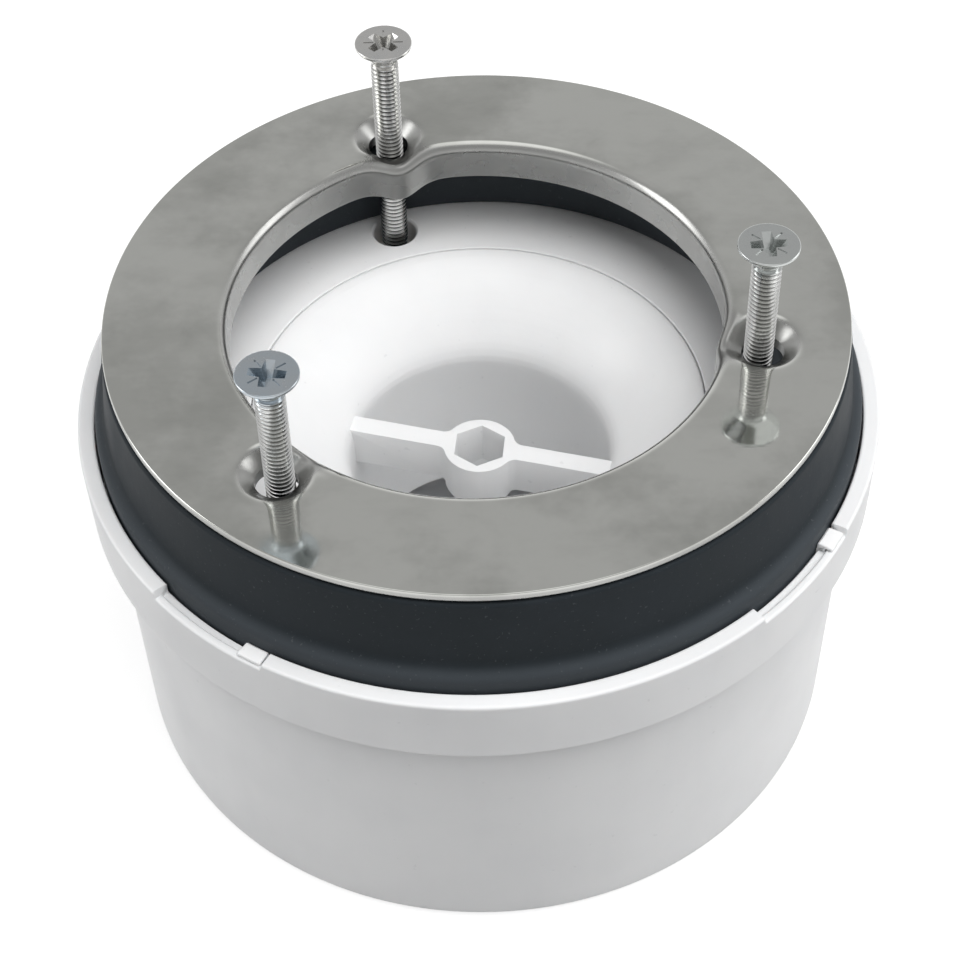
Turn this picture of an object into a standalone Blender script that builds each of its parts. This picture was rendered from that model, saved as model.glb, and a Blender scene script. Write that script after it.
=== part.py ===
"""Shower drain trap for a 90 mm tray hole: pot, fixing flange, gasket, clamp ring, screws, insert.

Metres, +Z up. The origin is the centre of the pot underside, and the outlet points along +Y.
"""

import math

import bmesh
import bpy
from mathutils import Matrix, Vector

MM = 0.001

# Shared clearances
REST_GAP = 0.20 * MM
SLIDE_GAP = 0.30 * MM
PRESS_GAP = 0.05 * MM
EDGE = 0.40 * MM

# Facet counts
ROUND_SEGMENTS = 56
PIPE_SEGMENTS = 36
SMALL_SEGMENTS = 18
SECTOR_STEPS = 6
SMOOTH_ANGLE = math.radians(32.0)
WELD = 0.0005 * MM

# Screw circle and clamp screws
SCREW_COUNT = 3
SCREW_START_DEG = 108.4
SCREW_CIRCLE_R = 38.0 * MM
SCREW_LENGTH = 40.0 * MM
SCREW_RAISE = 16.7 * MM
SCREW_HEAD_R = 4.0 * MM
SCREW_HEAD_RIM = 0.45 * MM
SCREW_SHANK_R = 1.95 * MM
SCREW_TIP_CHAMFER = 0.5 * MM
RECESS_ARM = 2.2 * MM
RECESS_WIDTH = 0.95 * MM
RECESS_DEPTH = 1.7 * MM

# Dimples of the clamp ring
DIMPLE_MARGIN = 1.0 * MM
DIMPLE_R = SCREW_HEAD_R + DIMPLE_MARGIN
DIMPLE_DEPTH = 2.6 * MM
DIMPLE_OUTSET = 0.6 * MM
DIMPLE_CIRCLE_R = SCREW_CIRCLE_R + DIMPLE_OUTSET
HOLE_MARGIN = 0.9 * MM
DIMPLE_HOLE_R = SCREW_SHANK_R + HOLE_MARGIN
CUP_WALL = 0.6 * MM
CUP_R = DIMPLE_R + CUP_WALL
CUP_TAPER = 1.2 * MM
CUP_FLOOR_T = 1.4 * MM
CUP_TOP_DROP = 1.9 * MM

# Threaded inserts and the bosses that hold them
THREAD_GAP = 0.20 * MM
BRASS_WALL = 0.95 * MM
BRASS_BORE_R = SCREW_SHANK_R + THREAD_GAP
BRASS_R = BRASS_BORE_R + BRASS_WALL
BRASS_LENGTH = 9.0 * MM
BRASS_WAIST_DEPTH = 0.30 * MM
BRASS_WAIST_H = 1.2 * MM
SCREW_WELL_DEPTH = 4.4 * MM
SCREW_WELL_R = BRASS_R + 2.0 * PRESS_GAP
SCREW_TAIL_MARGIN = 0.55 * MM
SCREW_TAIL_R = SCREW_SHANK_R + SCREW_TAIL_MARGIN
BOSS_WALL = 2.0 * MM
BOSS_R = SCREW_WELL_R + BOSS_WALL
BOSS_CAP_T = 2.0 * MM
TIP_ROOM = 1.8 * MM

# Outlet pipe
OUTLET_R = 20.0 * MM
OUTLET_WALL = 2.2 * MM
OUTLET_FOOT_CLEAR = 2.4 * MM
OUTLET_HEADROOM = 1.2 * MM
OUTLET_REACH = 28.2 * MM
OUTLET_CHAMFER = 1.2 * MM
STOP_COLLAR_STEP = 2.0 * MM
STOP_COLLAR_OFFSET = 5.2 * MM
STOP_COLLAR_WIDTH = 3.0 * MM
OUTLET_Z = OUTLET_FOOT_CLEAR + OUTLET_R

# Heights, from the pot foot to the screw heads
POT_WALL = 2.4 * MM
FLOOR_T = 2.5 * MM
FOOT_ROUND = 1.8 * MM
COLLAR_Z = OUTLET_Z + OUTLET_R + OUTLET_HEADROOM
LEDGE_T = 2.4 * MM
LEDGE_Z = COLLAR_Z + LEDGE_T
FLAT_SEAL_T = 1.4 * MM
SKIRT_DROP = 0.4 * MM
FLANGE_T = 3.0 * MM
SKIRT_Z = LEDGE_Z + REST_GAP + FLAT_SEAL_T + REST_GAP
FLANGE_TOP_Z = SKIRT_Z + SKIRT_DROP + FLANGE_T
RIM_RISE = 2.8 * MM
RIM_TOP_Z = FLANGE_TOP_Z + RIM_RISE
GASKET_H = 16.2 * MM
GASKET_LOW_Z = FLANGE_TOP_Z + REST_GAP
GASKET_TOP_Z = GASKET_LOW_Z + GASKET_H
RING_T = 1.5 * MM
RING_TOP_Z = GASKET_TOP_Z + REST_GAP + RING_T
SCREW_HEAD_Z = RING_TOP_Z + SCREW_RAISE
CUP_TOP_Z = RING_TOP_Z - CUP_TOP_DROP
CUP_FOOT_Z = RING_TOP_Z - DIMPLE_DEPTH - CUP_FLOOR_T
BRASS_TOP_Z = FLANGE_TOP_Z - SCREW_WELL_DEPTH
BOSS_FOOT_Z = RING_TOP_Z - SCREW_LENGTH - TIP_ROOM - BOSS_CAP_T

# Insert: dish, dip tube, bar and hub in one moulding
INSERT_CLEAR = 1.3 * MM
DISH_R = DIMPLE_CIRCLE_R - CUP_R - INSERT_CLEAR
DISH_RIM_T = 1.5 * MM
DISH_DEPTH = 9.2 * MM
DISH_CURVE = ((0.061, 0.109), (0.205, 0.315), (0.417, 0.587), (0.674, 0.837), (0.917, 0.984))
DISH_WALL = 2.2 * MM
WELL_R = 18.5 * MM
WELL_TOP_Z = FLANGE_TOP_Z - DISH_DEPTH
TUBE_LENGTH = 25.3 * MM
TUBE_FOOT_Z = WELL_TOP_Z - TUBE_LENGTH
TUBE_TAPER = 0.7 * MM
TUBE_WALL = 1.6 * MM
BAR_DEG = 164.5
BAR_WIDTH = 2.9 * MM
BAR_HEIGHT = 6.4 * MM
HEX_FLATS = 6.9 * MM
HEX_CORNER_DEG = 23.4
HUB_WALL = 1.12 * MM
HUB_R = HEX_FLATS / math.sqrt(3.0) + HUB_WALL
HUB_HEIGHT = 7.0 * MM
HUB_FILLET = 1.6 * MM

# Seat, sleeve and plug between insert and flange
SEAT_WIDTH = 2.5 * MM
SEAT_R = DISH_R + SLIDE_GAP
SEAT_Z = FLANGE_TOP_Z - DISH_RIM_T - SLIDE_GAP
SLEEVE_IN_R = SEAT_R - SEAT_WIDTH
SLEEVE_WALL = 1.7 * MM
SLEEVE_DEPTH = 8.6 * MM
SLEEVE_FOOT_Z = FLANGE_TOP_Z - SLEEVE_DEPTH
PLUG_GAP = 0.4 * MM
PLUG_R = SLEEVE_IN_R - PLUG_GAP
PLUG_WALL = 3.0 * MM
PLUG_FOOT_Z = SLEEVE_FOOT_Z + SLIDE_GAP
GROOVE_DEPTH = 1.6 * MM
GROOVE_FOOT = 1.3 * MM
GROOVE_H = 2.7 * MM
GROOVE_R = PLUG_R - GROOVE_DEPTH
ORING_SIDES = 6
ORING_SECTION_R = 0.5 * (GROOVE_DEPTH + PLUG_GAP) - PRESS_GAP
ORING_CENTRE_R = GROOVE_R + 0.5 * (GROOVE_DEPTH + PLUG_GAP)

# Weir round the dip tube
WEIR_BOSS_GAP = 1.0 * MM
WEIR_OUT_R = SCREW_CIRCLE_R - BOSS_R - WEIR_BOSS_GAP
WEIR_WALL = 1.8 * MM
WEIR_OVERFLOW = 8.1 * MM
WEIR_TOP_Z = SLEEVE_FOOT_Z - WEIR_OVERFLOW

# Tray gasket, from the screw wells outwards
GASKET_LAND = 0.6 * MM
GASKET_IN_R = SCREW_CIRCLE_R + SCREW_WELL_R + GASKET_LAND
THROAT_GAP = 1.1 * MM
GASKET_THROAT_R = DIMPLE_CIRCLE_R + CUP_R + THROAT_GAP
THROAT_CHAMFER = 3.0 * MM
THROAT_RISE = 0.7 * MM
GASKET_STEP_Z = CUP_FOOT_Z + THROAT_RISE
GASKET_TOP_WIDTH = 4.9 * MM
GASKET_TOP_R = GASKET_THROAT_R + GASKET_TOP_WIDTH
GASKET_LEAN = 1.4 * MM
GASKET_FLARE = 1.2 * MM
GASKET_WAIST_R = GASKET_TOP_R + GASKET_LEAN
GASKET_FOOT_R = GASKET_WAIST_R + GASKET_FLARE
GASKET_FOOT_H = 4.4 * MM
GASKET_FLARE_H = 1.8 * MM
SLOT_OFFSET = 4.2 * MM
SLOT_WIDTH = 2.4 * MM
SLOT_H = 5.0 * MM

# Clamp ring
RING_SETBACK = 0.2 * MM
RING_R = GASKET_TOP_R - RING_SETBACK
OPEN_MARGIN = 1.8 * MM
RING_OPEN_R = DISH_R + OPEN_MARGIN
RING_BEND_R = 2.1 * MM
LIP_DEPTH = 5.7 * MM
LIP_FOOT_Z = RING_TOP_Z - LIP_DEPTH
BEND_STEPS = 3

# Pot radii, from the gasket outwards
RIM_WALL = 2.3 * MM
RIM_IN_R = GASKET_FOOT_R + SLIDE_GAP
RIM_R = RIM_IN_R + RIM_WALL
COLLAR_DRAFT = 0.2 * MM
COLLAR_R = RIM_R - COLLAR_DRAFT
COLLAR_STEP = 2.6 * MM
POT_TOP_R = COLLAR_R - COLLAR_STEP
POT_DRAFT = 0.8 * MM
POT_FOOT_R = POT_TOP_R - POT_DRAFT
FLANGE_R = RIM_IN_R - SLIDE_GAP
FLAT_SEAL_WIDTH = 2.2 * MM
SKIRT_WIDTH = 2.0 * MM
OUTLET_END_Y = POT_FOOT_R + OUTLET_REACH
STOP_COLLAR_Y = POT_FOOT_R + STOP_COLLAR_OFFSET

# Windows in the rim and the lugs that stand in them
WINDOW_COUNT = 4
WINDOW_START_DEG = 220.2
WINDOW_END_DEG = 239.6
WINDOW_DROP = 1.0 * MM
WINDOW_SILL_Z = RIM_TOP_Z - WINDOW_DROP
WINDOW_LEDGE = 1.4 * MM
WINDOW_FLOOR_Z = LEDGE_Z + WINDOW_LEDGE
WINDOW_SKIN_T = 1.2 * MM
LUG_SPAN_DEG = 3.6
LUG_END_GAP_DEG = 0.35
LUG_RISE = 0.4 * MM
LUG_TOP_Z = RIM_TOP_Z + LUG_RISE
LUG_SETBACK = 0.3 * MM
LUG_HEAD_R = RIM_R - LUG_SETBACK
LUG_HEAD_CLEAR = 0.15 * MM

# Finishes: base colour, roughness, metallic
FINISHES = {
    "white_moulding": ((0.83, 0.84, 0.85, 1.0), 0.42, 0.0),
    "bright_moulding": ((0.86, 0.87, 0.87, 1.0), 0.34, 0.0),
    "black_rubber": ((0.028, 0.031, 0.035, 1.0), 0.62, 0.0),
    "seal_rubber": ((0.020, 0.021, 0.023, 1.0), 0.50, 0.0),
    "pressed_steel": ((0.56, 0.56, 0.55, 1.0), 0.28, 1.0),
    "plated_steel": ((0.62, 0.64, 0.66, 1.0), 0.24, 1.0),
    "machined_brass": ((0.72, 0.52, 0.22, 1.0), 0.30, 1.0),
}


def clear_scene():
    """Remove every object that is already in the scene."""
    for item in list(bpy.data.objects):
        bpy.data.objects.remove(item, do_unlink=True)


def finish(name):
    """Return the named material, made once."""
    found = bpy.data.materials.get(name)
    if found is not None:
        return found
    colour, roughness, metallic = FINISHES[name]
    material = bpy.data.materials.new(name)
    material.use_nodes = True
    shader = material.node_tree.nodes["Principled BSDF"]
    shader.inputs["Base Color"].default_value = colour
    shader.inputs["Roughness"].default_value = roughness
    shader.inputs["Metallic"].default_value = metallic
    return material


def polar(radius, degrees, z=0.0):
    """Return the point at a radius and azimuth."""
    angle = math.radians(degrees)
    return Vector((radius * math.cos(angle), radius * math.sin(angle), z))


def screw_degrees():
    """Return the azimuth of each screw."""
    return [SCREW_START_DEG + index * 360.0 / SCREW_COUNT for index in range(SCREW_COUNT)]


def window_degrees():
    """Return the start and end azimuth of each rim window."""
    pitch = 360.0 / WINDOW_COUNT
    return [(WINDOW_START_DEG + index * pitch, WINDOW_END_DEG + index * pitch)
            for index in range(WINDOW_COUNT)]


def make_object(name, mesh_data, slot=None):
    """Link a bmesh as a named object with outward faces."""
    bmesh.ops.recalc_face_normals(mesh_data, faces=mesh_data.faces)
    if mesh_data.calc_volume(signed=True) < 0.0:
        bmesh.ops.reverse_faces(mesh_data, faces=mesh_data.faces)
    mesh = bpy.data.meshes.new(name)
    mesh_data.to_mesh(mesh)
    mesh_data.free()
    item = bpy.data.objects.new(name, mesh)
    bpy.context.scene.collection.objects.link(item)
    if slot is not None:
        mesh.materials.append(finish(slot))
    return item


def lathe(name, profile, segments, slot=None):
    """Revolve a closed (radius, z) outline about Z."""
    data = bmesh.new()
    rings = []
    for radius, z in profile:
        if radius <= 0.0:
            rings.append([data.verts.new((0.0, 0.0, z))])
            continue
        ring = [data.verts.new(polar(radius, 360.0 * step / segments, z)) for step in range(segments)]
        rings.append(ring)
    for first, second in zip(rings, rings[1:] + rings[:1]):
        for step in range(segments):
            after = (step + 1) % segments
            corners = [first[step % len(first)], first[after % len(first)],
                       second[after % len(second)], second[step % len(second)]]
            unique = list(dict.fromkeys(corners))
            if len(unique) >= 3:
                data.faces.new(unique)
    return make_object(name, data, slot)


def prism(name, outline, low, high):
    """Extrude a plan outline of (x, y) points between two heights."""
    data = bmesh.new()
    bottom = [data.verts.new((x, y, low)) for x, y in outline]
    top = [data.verts.new((x, y, high)) for x, y in outline]
    data.faces.new(bottom)
    data.faces.new(top)
    count = len(outline)
    for index in range(count):
        after = (index + 1) % count
        data.faces.new((bottom[index], bottom[after], top[after], top[index]))
    return make_object(name, data)


def swept_sector(name, outline, degrees):
    """Sweep a closed (radius, z) outline between two azimuths and cap the ends."""
    data = bmesh.new()
    start, end = degrees
    slices = []
    for step in range(SECTOR_STEPS + 1):
        angle = start + (end - start) * step / SECTOR_STEPS
        slices.append([data.verts.new(polar(radius, angle, z)) for radius, z in outline])
    count = len(outline)
    for first, second in zip(slices, slices[1:]):
        for index in range(count):
            after = (index + 1) % count
            data.faces.new((first[index], first[after], second[after], second[index]))
    data.faces.new(slices[0])
    data.faces.new(slices[-1])
    return make_object(name, data)


def post(name, radius, low, high, segments, centre=(0.0, 0.0)):
    """Make an upright round post."""
    outline = []
    for step in range(segments):
        point = polar(radius, 360.0 * step / segments)
        outline.append((centre[0] + point.x, centre[1] + point.y))
    return prism(name, outline, low, high)


def cone_post(name, sections, segments, centre, facets_turned=False):
    """Make an upright post from (radius, z) sections, if asked turned by half a facet."""
    profile = [(0.0, sections[0][1])] + list(sections) + [(0.0, sections[-1][1])]
    item = lathe(name, profile, segments)
    turn = math.pi / segments if facets_turned else 0.0
    place = Matrix.Translation((centre[0], centre[1], 0.0))
    item.data.transform(place @ Matrix.Rotation(turn, 4, "Z"))
    return item


def lay_along_y(item, z):
    """Turn an upright shape so that its +Z end points along +Y at a height."""
    turn = Matrix.Rotation(math.radians(-90.0), 4, "X")
    item.data.transform(Matrix.Translation((0.0, 0.0, z)) @ turn)
    return item


def weld(mesh):
    """Merge points of a mesh that lie on each other."""
    data = bmesh.new()
    data.from_mesh(mesh)
    bmesh.ops.remove_doubles(data, verts=data.verts, dist=WELD)
    data.to_mesh(mesh)
    data.free()


def combine(body, tool, operation):
    """Apply one Boolean of a tool to a body and drop the tool."""
    step = body.modifiers.new(operation.lower(), "BOOLEAN")
    step.operation = operation
    step.solver = "EXACT"
    step.object = tool
    graph = bpy.context.evaluated_depsgraph_get()
    mesh = bpy.data.meshes.new_from_object(body.evaluated_get(graph))
    body.modifiers.remove(step)
    weld(mesh)
    old = body.data
    slots = [slot for slot in old.materials]
    body.data = mesh
    body.data.materials.clear()
    for slot in slots:
        body.data.materials.append(slot)
    for polygon in body.data.polygons:
        polygon.material_index = 0
    bpy.data.meshes.remove(old)
    bpy.data.objects.remove(tool, do_unlink=True)


def smooth(item):
    """Shade a round piece smooth with crisp edges."""
    item.data.shade_smooth()
    item.data.set_sharp_from_angle(angle=SMOOTH_ANGLE)
    return item


def pot_profile():
    """Return the outline of the pot, collar, ledge and inner weir."""
    wall_in_r = POT_TOP_R - POT_WALL
    foot_in_r = POT_FOOT_R - POT_WALL
    bevel = 0.3 * FOOT_ROUND
    return [
        (0.0, 0.0),
        (POT_FOOT_R - FOOT_ROUND, 0.0),
        (POT_FOOT_R - bevel, bevel),
        (POT_FOOT_R, FOOT_ROUND),
        (POT_TOP_R, COLLAR_Z - EDGE),
        (POT_TOP_R + EDGE, COLLAR_Z),
        (COLLAR_R - EDGE, COLLAR_Z),
        (COLLAR_R, COLLAR_Z + EDGE),
        (RIM_R, RIM_TOP_Z - EDGE),
        (RIM_R - EDGE, RIM_TOP_Z),
        (RIM_IN_R + EDGE, RIM_TOP_Z),
        (RIM_IN_R, RIM_TOP_Z - EDGE),
        (RIM_IN_R, LEDGE_Z),
        (wall_in_r, LEDGE_Z),
        (foot_in_r, FLOOR_T + FOOT_ROUND),
        (foot_in_r - FOOT_ROUND, FLOOR_T),
        (WEIR_OUT_R, FLOOR_T),
        (WEIR_OUT_R, WEIR_TOP_Z),
        (WEIR_OUT_R - WEIR_WALL, WEIR_TOP_Z),
        (WEIR_OUT_R - WEIR_WALL, FLOOR_T),
        (0.0, FLOOR_T),
    ]


def add_outlet(pot):
    """Join the low rear outlet pipe to the pot and open its bore."""
    start = SCREW_CIRCLE_R + BOSS_R
    collar_r = OUTLET_R + STOP_COLLAR_STEP
    collar_end = STOP_COLLAR_Y + STOP_COLLAR_WIDTH
    stem = [
        (OUTLET_R, start),
        (OUTLET_R, STOP_COLLAR_Y),
        (collar_r, STOP_COLLAR_Y),
        (collar_r, collar_end),
        (OUTLET_R, collar_end),
        (OUTLET_R, OUTLET_END_Y - OUTLET_CHAMFER),
        (OUTLET_R - 0.5 * OUTLET_CHAMFER, OUTLET_END_Y),
    ]
    pipe = lay_along_y(cone_post("outlet_pipe", stem, PIPE_SEGMENTS, (0.0, 0.0)), OUTLET_Z)
    hollow_r = POT_FOOT_R - 0.5 * POT_WALL
    hollow = post("pot_hollow", hollow_r, -POT_WALL, LEDGE_Z, ROUND_SEGMENTS)
    combine(pipe, hollow, "DIFFERENCE")
    combine(pot, pipe, "UNION")
    bore_r = OUTLET_R - OUTLET_WALL
    bore_start = 0.5 * (WEIR_OUT_R + POT_FOOT_R - POT_WALL)
    bore_end = OUTLET_END_Y + POT_WALL
    bore = post("outlet_bore", bore_r, bore_start, bore_end, PIPE_SEGMENTS)
    combine(pot, lay_along_y(bore, OUTLET_Z), "DIFFERENCE")


def cut_windows(pot):
    """Thin and lower the rim over each window."""
    start_r = RIM_IN_R - EDGE
    skin_in_r = RIM_R - WINDOW_SKIN_T
    past_r = RIM_R + POT_WALL
    above = RIM_TOP_Z + POT_WALL
    outline = [
        (start_r, WINDOW_FLOOR_Z),
        (skin_in_r, WINDOW_FLOOR_Z),
        (skin_in_r, WINDOW_SILL_Z),
        (past_r, WINDOW_SILL_Z),
        (past_r, above),
        (start_r, above),
    ]
    for span in window_degrees():
        combine(pot, swept_sector("window", outline, span), "DIFFERENCE")


def build_pot():
    """Build the pot body."""
    pot = lathe("pot_body", pot_profile(), ROUND_SEGMENTS, "white_moulding")
    add_outlet(pot)
    cut_windows(pot)
    return smooth(pot)


def build_flat_seal():
    """Build the flat seal that lies on the pot ledge."""
    inner = FLANGE_R - FLAT_SEAL_WIDTH
    low = LEDGE_Z + REST_GAP
    high = low + FLAT_SEAL_T
    profile = [(inner, low), (FLANGE_R, low), (FLANGE_R, high), (inner, high)]
    return smooth(lathe("flange_seal", profile, ROUND_SEGMENTS, "seal_rubber"))


def flange_profile():
    """Return the outline of the flange plate, skirt, seat and sleeve."""
    plate_z = FLANGE_TOP_Z - FLANGE_T
    sleeve_out_r = SLEEVE_IN_R + SLEEVE_WALL
    return [
        (SLEEVE_IN_R, SLEEVE_FOOT_Z),
        (sleeve_out_r, SLEEVE_FOOT_Z),
        (sleeve_out_r, plate_z - SLEEVE_WALL),
        (sleeve_out_r + SLEEVE_WALL, plate_z),
        (FLANGE_R - SKIRT_WIDTH, plate_z),
        (FLANGE_R - SKIRT_WIDTH, SKIRT_Z),
        (FLANGE_R, SKIRT_Z),
        (FLANGE_R, FLANGE_TOP_Z - EDGE),
        (FLANGE_R - EDGE, FLANGE_TOP_Z),
        (SEAT_R + EDGE, FLANGE_TOP_Z),
        (SEAT_R, FLANGE_TOP_Z - EDGE),
        (SEAT_R, SEAT_Z),
        (SLEEVE_IN_R, SEAT_Z),
    ]


def add_bosses(flange):
    """Join the blind screw bosses and open their stepped holes."""
    well_z = BRASS_TOP_Z - BRASS_LENGTH
    pocket_r = BRASS_R + PRESS_GAP
    mid_plate = FLANGE_TOP_Z - 0.5 * FLANGE_T
    above = FLANGE_TOP_Z + FLANGE_T
    for degrees in screw_degrees():
        centre = tuple(polar(SCREW_CIRCLE_R, degrees)[:2])
        boss = post("boss", BOSS_R, BOSS_FOOT_Z, mid_plate, SMALL_SEGMENTS, centre)
        combine(flange, boss, "UNION")
        sections = [
            (SCREW_TAIL_R, BOSS_FOOT_Z + BOSS_CAP_T),
            (SCREW_TAIL_R, well_z - PRESS_GAP),
            (pocket_r, well_z - PRESS_GAP),
            (pocket_r, BRASS_TOP_Z + PRESS_GAP),
            (SCREW_WELL_R, BRASS_TOP_Z + PRESS_GAP),
            (SCREW_WELL_R, above),
        ]
        hole = cone_post("boss_hole", sections, SMALL_SEGMENTS, centre, True)
        combine(flange, hole, "DIFFERENCE")


def add_lugs(flange):
    """Join the turn-lock lugs that stand in the rim windows."""
    root_r = FLANGE_R - EDGE
    stem_r = RIM_R - WINDOW_SKIN_T - LUG_HEAD_CLEAR
    clear_gasket_r = GASKET_FOOT_R + LUG_HEAD_CLEAR
    low = WINDOW_FLOOR_Z + SLIDE_GAP + EDGE
    head_z = WINDOW_SILL_Z + LUG_HEAD_CLEAR
    shoulder_z = FLANGE_TOP_Z - EDGE - REST_GAP
    outline = [
        (root_r, low),
        (stem_r, low),
        (stem_r, head_z),
        (LUG_HEAD_R, head_z),
        (LUG_HEAD_R, LUG_TOP_Z - EDGE),
        (LUG_HEAD_R - EDGE, LUG_TOP_Z),
        (clear_gasket_r, LUG_TOP_Z),
        (clear_gasket_r, shoulder_z),
        (root_r, shoulder_z),
    ]
    for _, end in window_degrees():
        last = end - LUG_END_GAP_DEG
        lug = swept_sector("lug", outline, (last - LUG_SPAN_DEG, last))
        combine(flange, lug, "UNION")


def build_flange():
    """Build the fixing flange with its bosses and lugs."""
    flange = lathe("fixing_flange", flange_profile(), ROUND_SEGMENTS, "bright_moulding")
    add_bosses(flange)
    add_lugs(flange)
    return smooth(flange)


def build_threaded_inserts():
    """Build the brass threaded inserts of the screw bosses."""
    low = BRASS_TOP_Z - BRASS_LENGTH
    middle = 0.5 * (low + BRASS_TOP_Z)
    waist_r = BRASS_R - BRASS_WAIST_DEPTH
    profile = [
        (BRASS_BORE_R, low),
        (BRASS_R, low),
        (BRASS_R, middle - BRASS_WAIST_H),
        (waist_r, middle - 0.5 * BRASS_WAIST_H),
        (waist_r, middle + 0.5 * BRASS_WAIST_H),
        (BRASS_R, middle + BRASS_WAIST_H),
        (BRASS_R, BRASS_TOP_Z),
        (BRASS_BORE_R, BRASS_TOP_Z),
    ]
    made = []
    for index, degrees in enumerate(screw_degrees()):
        item = lathe(f"threaded_insert_{index + 1}", profile, SMALL_SEGMENTS, "machined_brass")
        item.location = polar(SCREW_CIRCLE_R, degrees)
        made.append(smooth(item))
    return made


def gasket_profile():
    """Return the outline of the tray gasket."""
    slot_in = GASKET_IN_R + SLOT_OFFSET
    slot_out = slot_in + SLOT_WIDTH
    slot_top = GASKET_LOW_Z + SLOT_H
    foot_z = GASKET_LOW_Z + GASKET_FOOT_H
    return [
        (GASKET_IN_R, GASKET_LOW_Z),
        (slot_in, GASKET_LOW_Z),
        (slot_in + EDGE, slot_top),
        (slot_out - EDGE, slot_top),
        (slot_out, GASKET_LOW_Z),
        (GASKET_FOOT_R - EDGE, GASKET_LOW_Z),
        (GASKET_FOOT_R, GASKET_LOW_Z + EDGE),
        (GASKET_FOOT_R, foot_z - EDGE),
        (GASKET_FOOT_R - EDGE, foot_z + EDGE),
        (GASKET_WAIST_R, foot_z + GASKET_FLARE_H),
        (GASKET_TOP_R, GASKET_TOP_Z - EDGE),
        (GASKET_TOP_R - EDGE, GASKET_TOP_Z),
        (GASKET_THROAT_R, GASKET_TOP_Z),
        (GASKET_THROAT_R, GASKET_STEP_Z),
        (GASKET_IN_R, GASKET_STEP_Z - THROAT_CHAMFER),
    ]


def build_gasket():
    """Build the tray gasket."""
    return smooth(lathe("tray_gasket", gasket_profile(), ROUND_SEGMENTS, "black_rubber"))


def ring_profile():
    """Return the outline of the clamp ring with its turned-down lip."""
    under_z = RING_TOP_Z - RING_T
    lip_out_r = RING_OPEN_R + RING_T
    bend_centre = (RING_OPEN_R + RING_BEND_R, RING_TOP_Z - RING_BEND_R)
    outline = [
        (lip_out_r, LIP_FOOT_Z),
        (lip_out_r, under_z - EDGE),
        (lip_out_r + EDGE, under_z),
        (RING_R - EDGE, under_z),
        (RING_R, under_z + EDGE),
        (RING_R, RING_TOP_Z - EDGE),
        (RING_R - EDGE, RING_TOP_Z),
    ]
    for step in range(BEND_STEPS + 1):
        angle = math.radians(90.0 + 90.0 * step / BEND_STEPS)
        outline.append((bend_centre[0] + RING_BEND_R * math.cos(angle),
                        bend_centre[1] + RING_BEND_R * math.sin(angle)))
    outline.append((RING_OPEN_R, LIP_FOOT_Z))
    return outline


def build_clamp_ring():
    """Build the pressed clamp ring with a dimple for each screw."""
    ring = lathe("clamp_ring", ring_profile(), ROUND_SEGMENTS, "pressed_steel")
    for degrees in screw_degrees():
        centre = tuple(polar(DIMPLE_CIRCLE_R, degrees)[:2])
        cup_sections = [
            (CUP_R - CUP_TAPER, CUP_FOOT_Z),
            (CUP_R, CUP_FOOT_Z + CUP_TAPER),
            (CUP_R, CUP_TOP_Z),
        ]
        combine(ring, cone_post("cup", cup_sections, SMALL_SEGMENTS, centre), "UNION")
        slope = (DIMPLE_R - DIMPLE_HOLE_R) / DIMPLE_DEPTH
        over = RING_T
        floor_z = RING_TOP_Z - DIMPLE_DEPTH
        hole_sections = [
            (DIMPLE_HOLE_R, CUP_FOOT_Z - RING_T),
            (DIMPLE_HOLE_R, floor_z),
            (DIMPLE_R + over * slope, RING_TOP_Z + over),
        ]
        dimple = cone_post("dimple", hole_sections, SMALL_SEGMENTS, centre, True)
        combine(ring, dimple, "DIFFERENCE")
    return smooth(ring)


def screw_sections():
    """Return the (radius, z) sections of a screw, from tip to head, below its head face."""
    cone_z = -(SCREW_HEAD_RIM + SCREW_HEAD_R - SCREW_SHANK_R)
    return [
        (SCREW_SHANK_R - SCREW_TIP_CHAMFER, -SCREW_LENGTH),
        (SCREW_SHANK_R, -SCREW_LENGTH + SCREW_TIP_CHAMFER),
        (SCREW_SHANK_R, cone_z),
        (SCREW_HEAD_R, -SCREW_HEAD_RIM),
        (SCREW_HEAD_R, -0.3 * SCREW_HEAD_RIM),
        (SCREW_HEAD_R - 0.5 * SCREW_HEAD_RIM, 0.0),
    ]


def recess_outline():
    """Return the plan outline of the cross recess."""
    half = 0.5 * RECESS_WIDTH
    outline = []
    for quarter in range(4):
        turn = Matrix.Rotation(math.radians(90.0 * quarter), 2)
        for corner in ((RECESS_ARM, -half), (RECESS_ARM, half), (half, half)):
            outline.append(tuple(turn @ Vector(corner)))
    return outline


def build_screws():
    """Build the raised clamp screws."""
    made = []
    for index, degrees in enumerate(screw_degrees()):
        name = f"clamp_screw_{index + 1}"
        item = cone_post(name, screw_sections(), SMALL_SEGMENTS, (0.0, 0.0))
        item.data.materials.append(finish("plated_steel"))
        recess = prism("recess", recess_outline(), -RECESS_DEPTH, RECESS_DEPTH)
        combine(item, recess, "DIFFERENCE")
        item.location = polar(SCREW_CIRCLE_R, degrees, SCREW_HEAD_Z)
        made.append(smooth(item))
    return made


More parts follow.
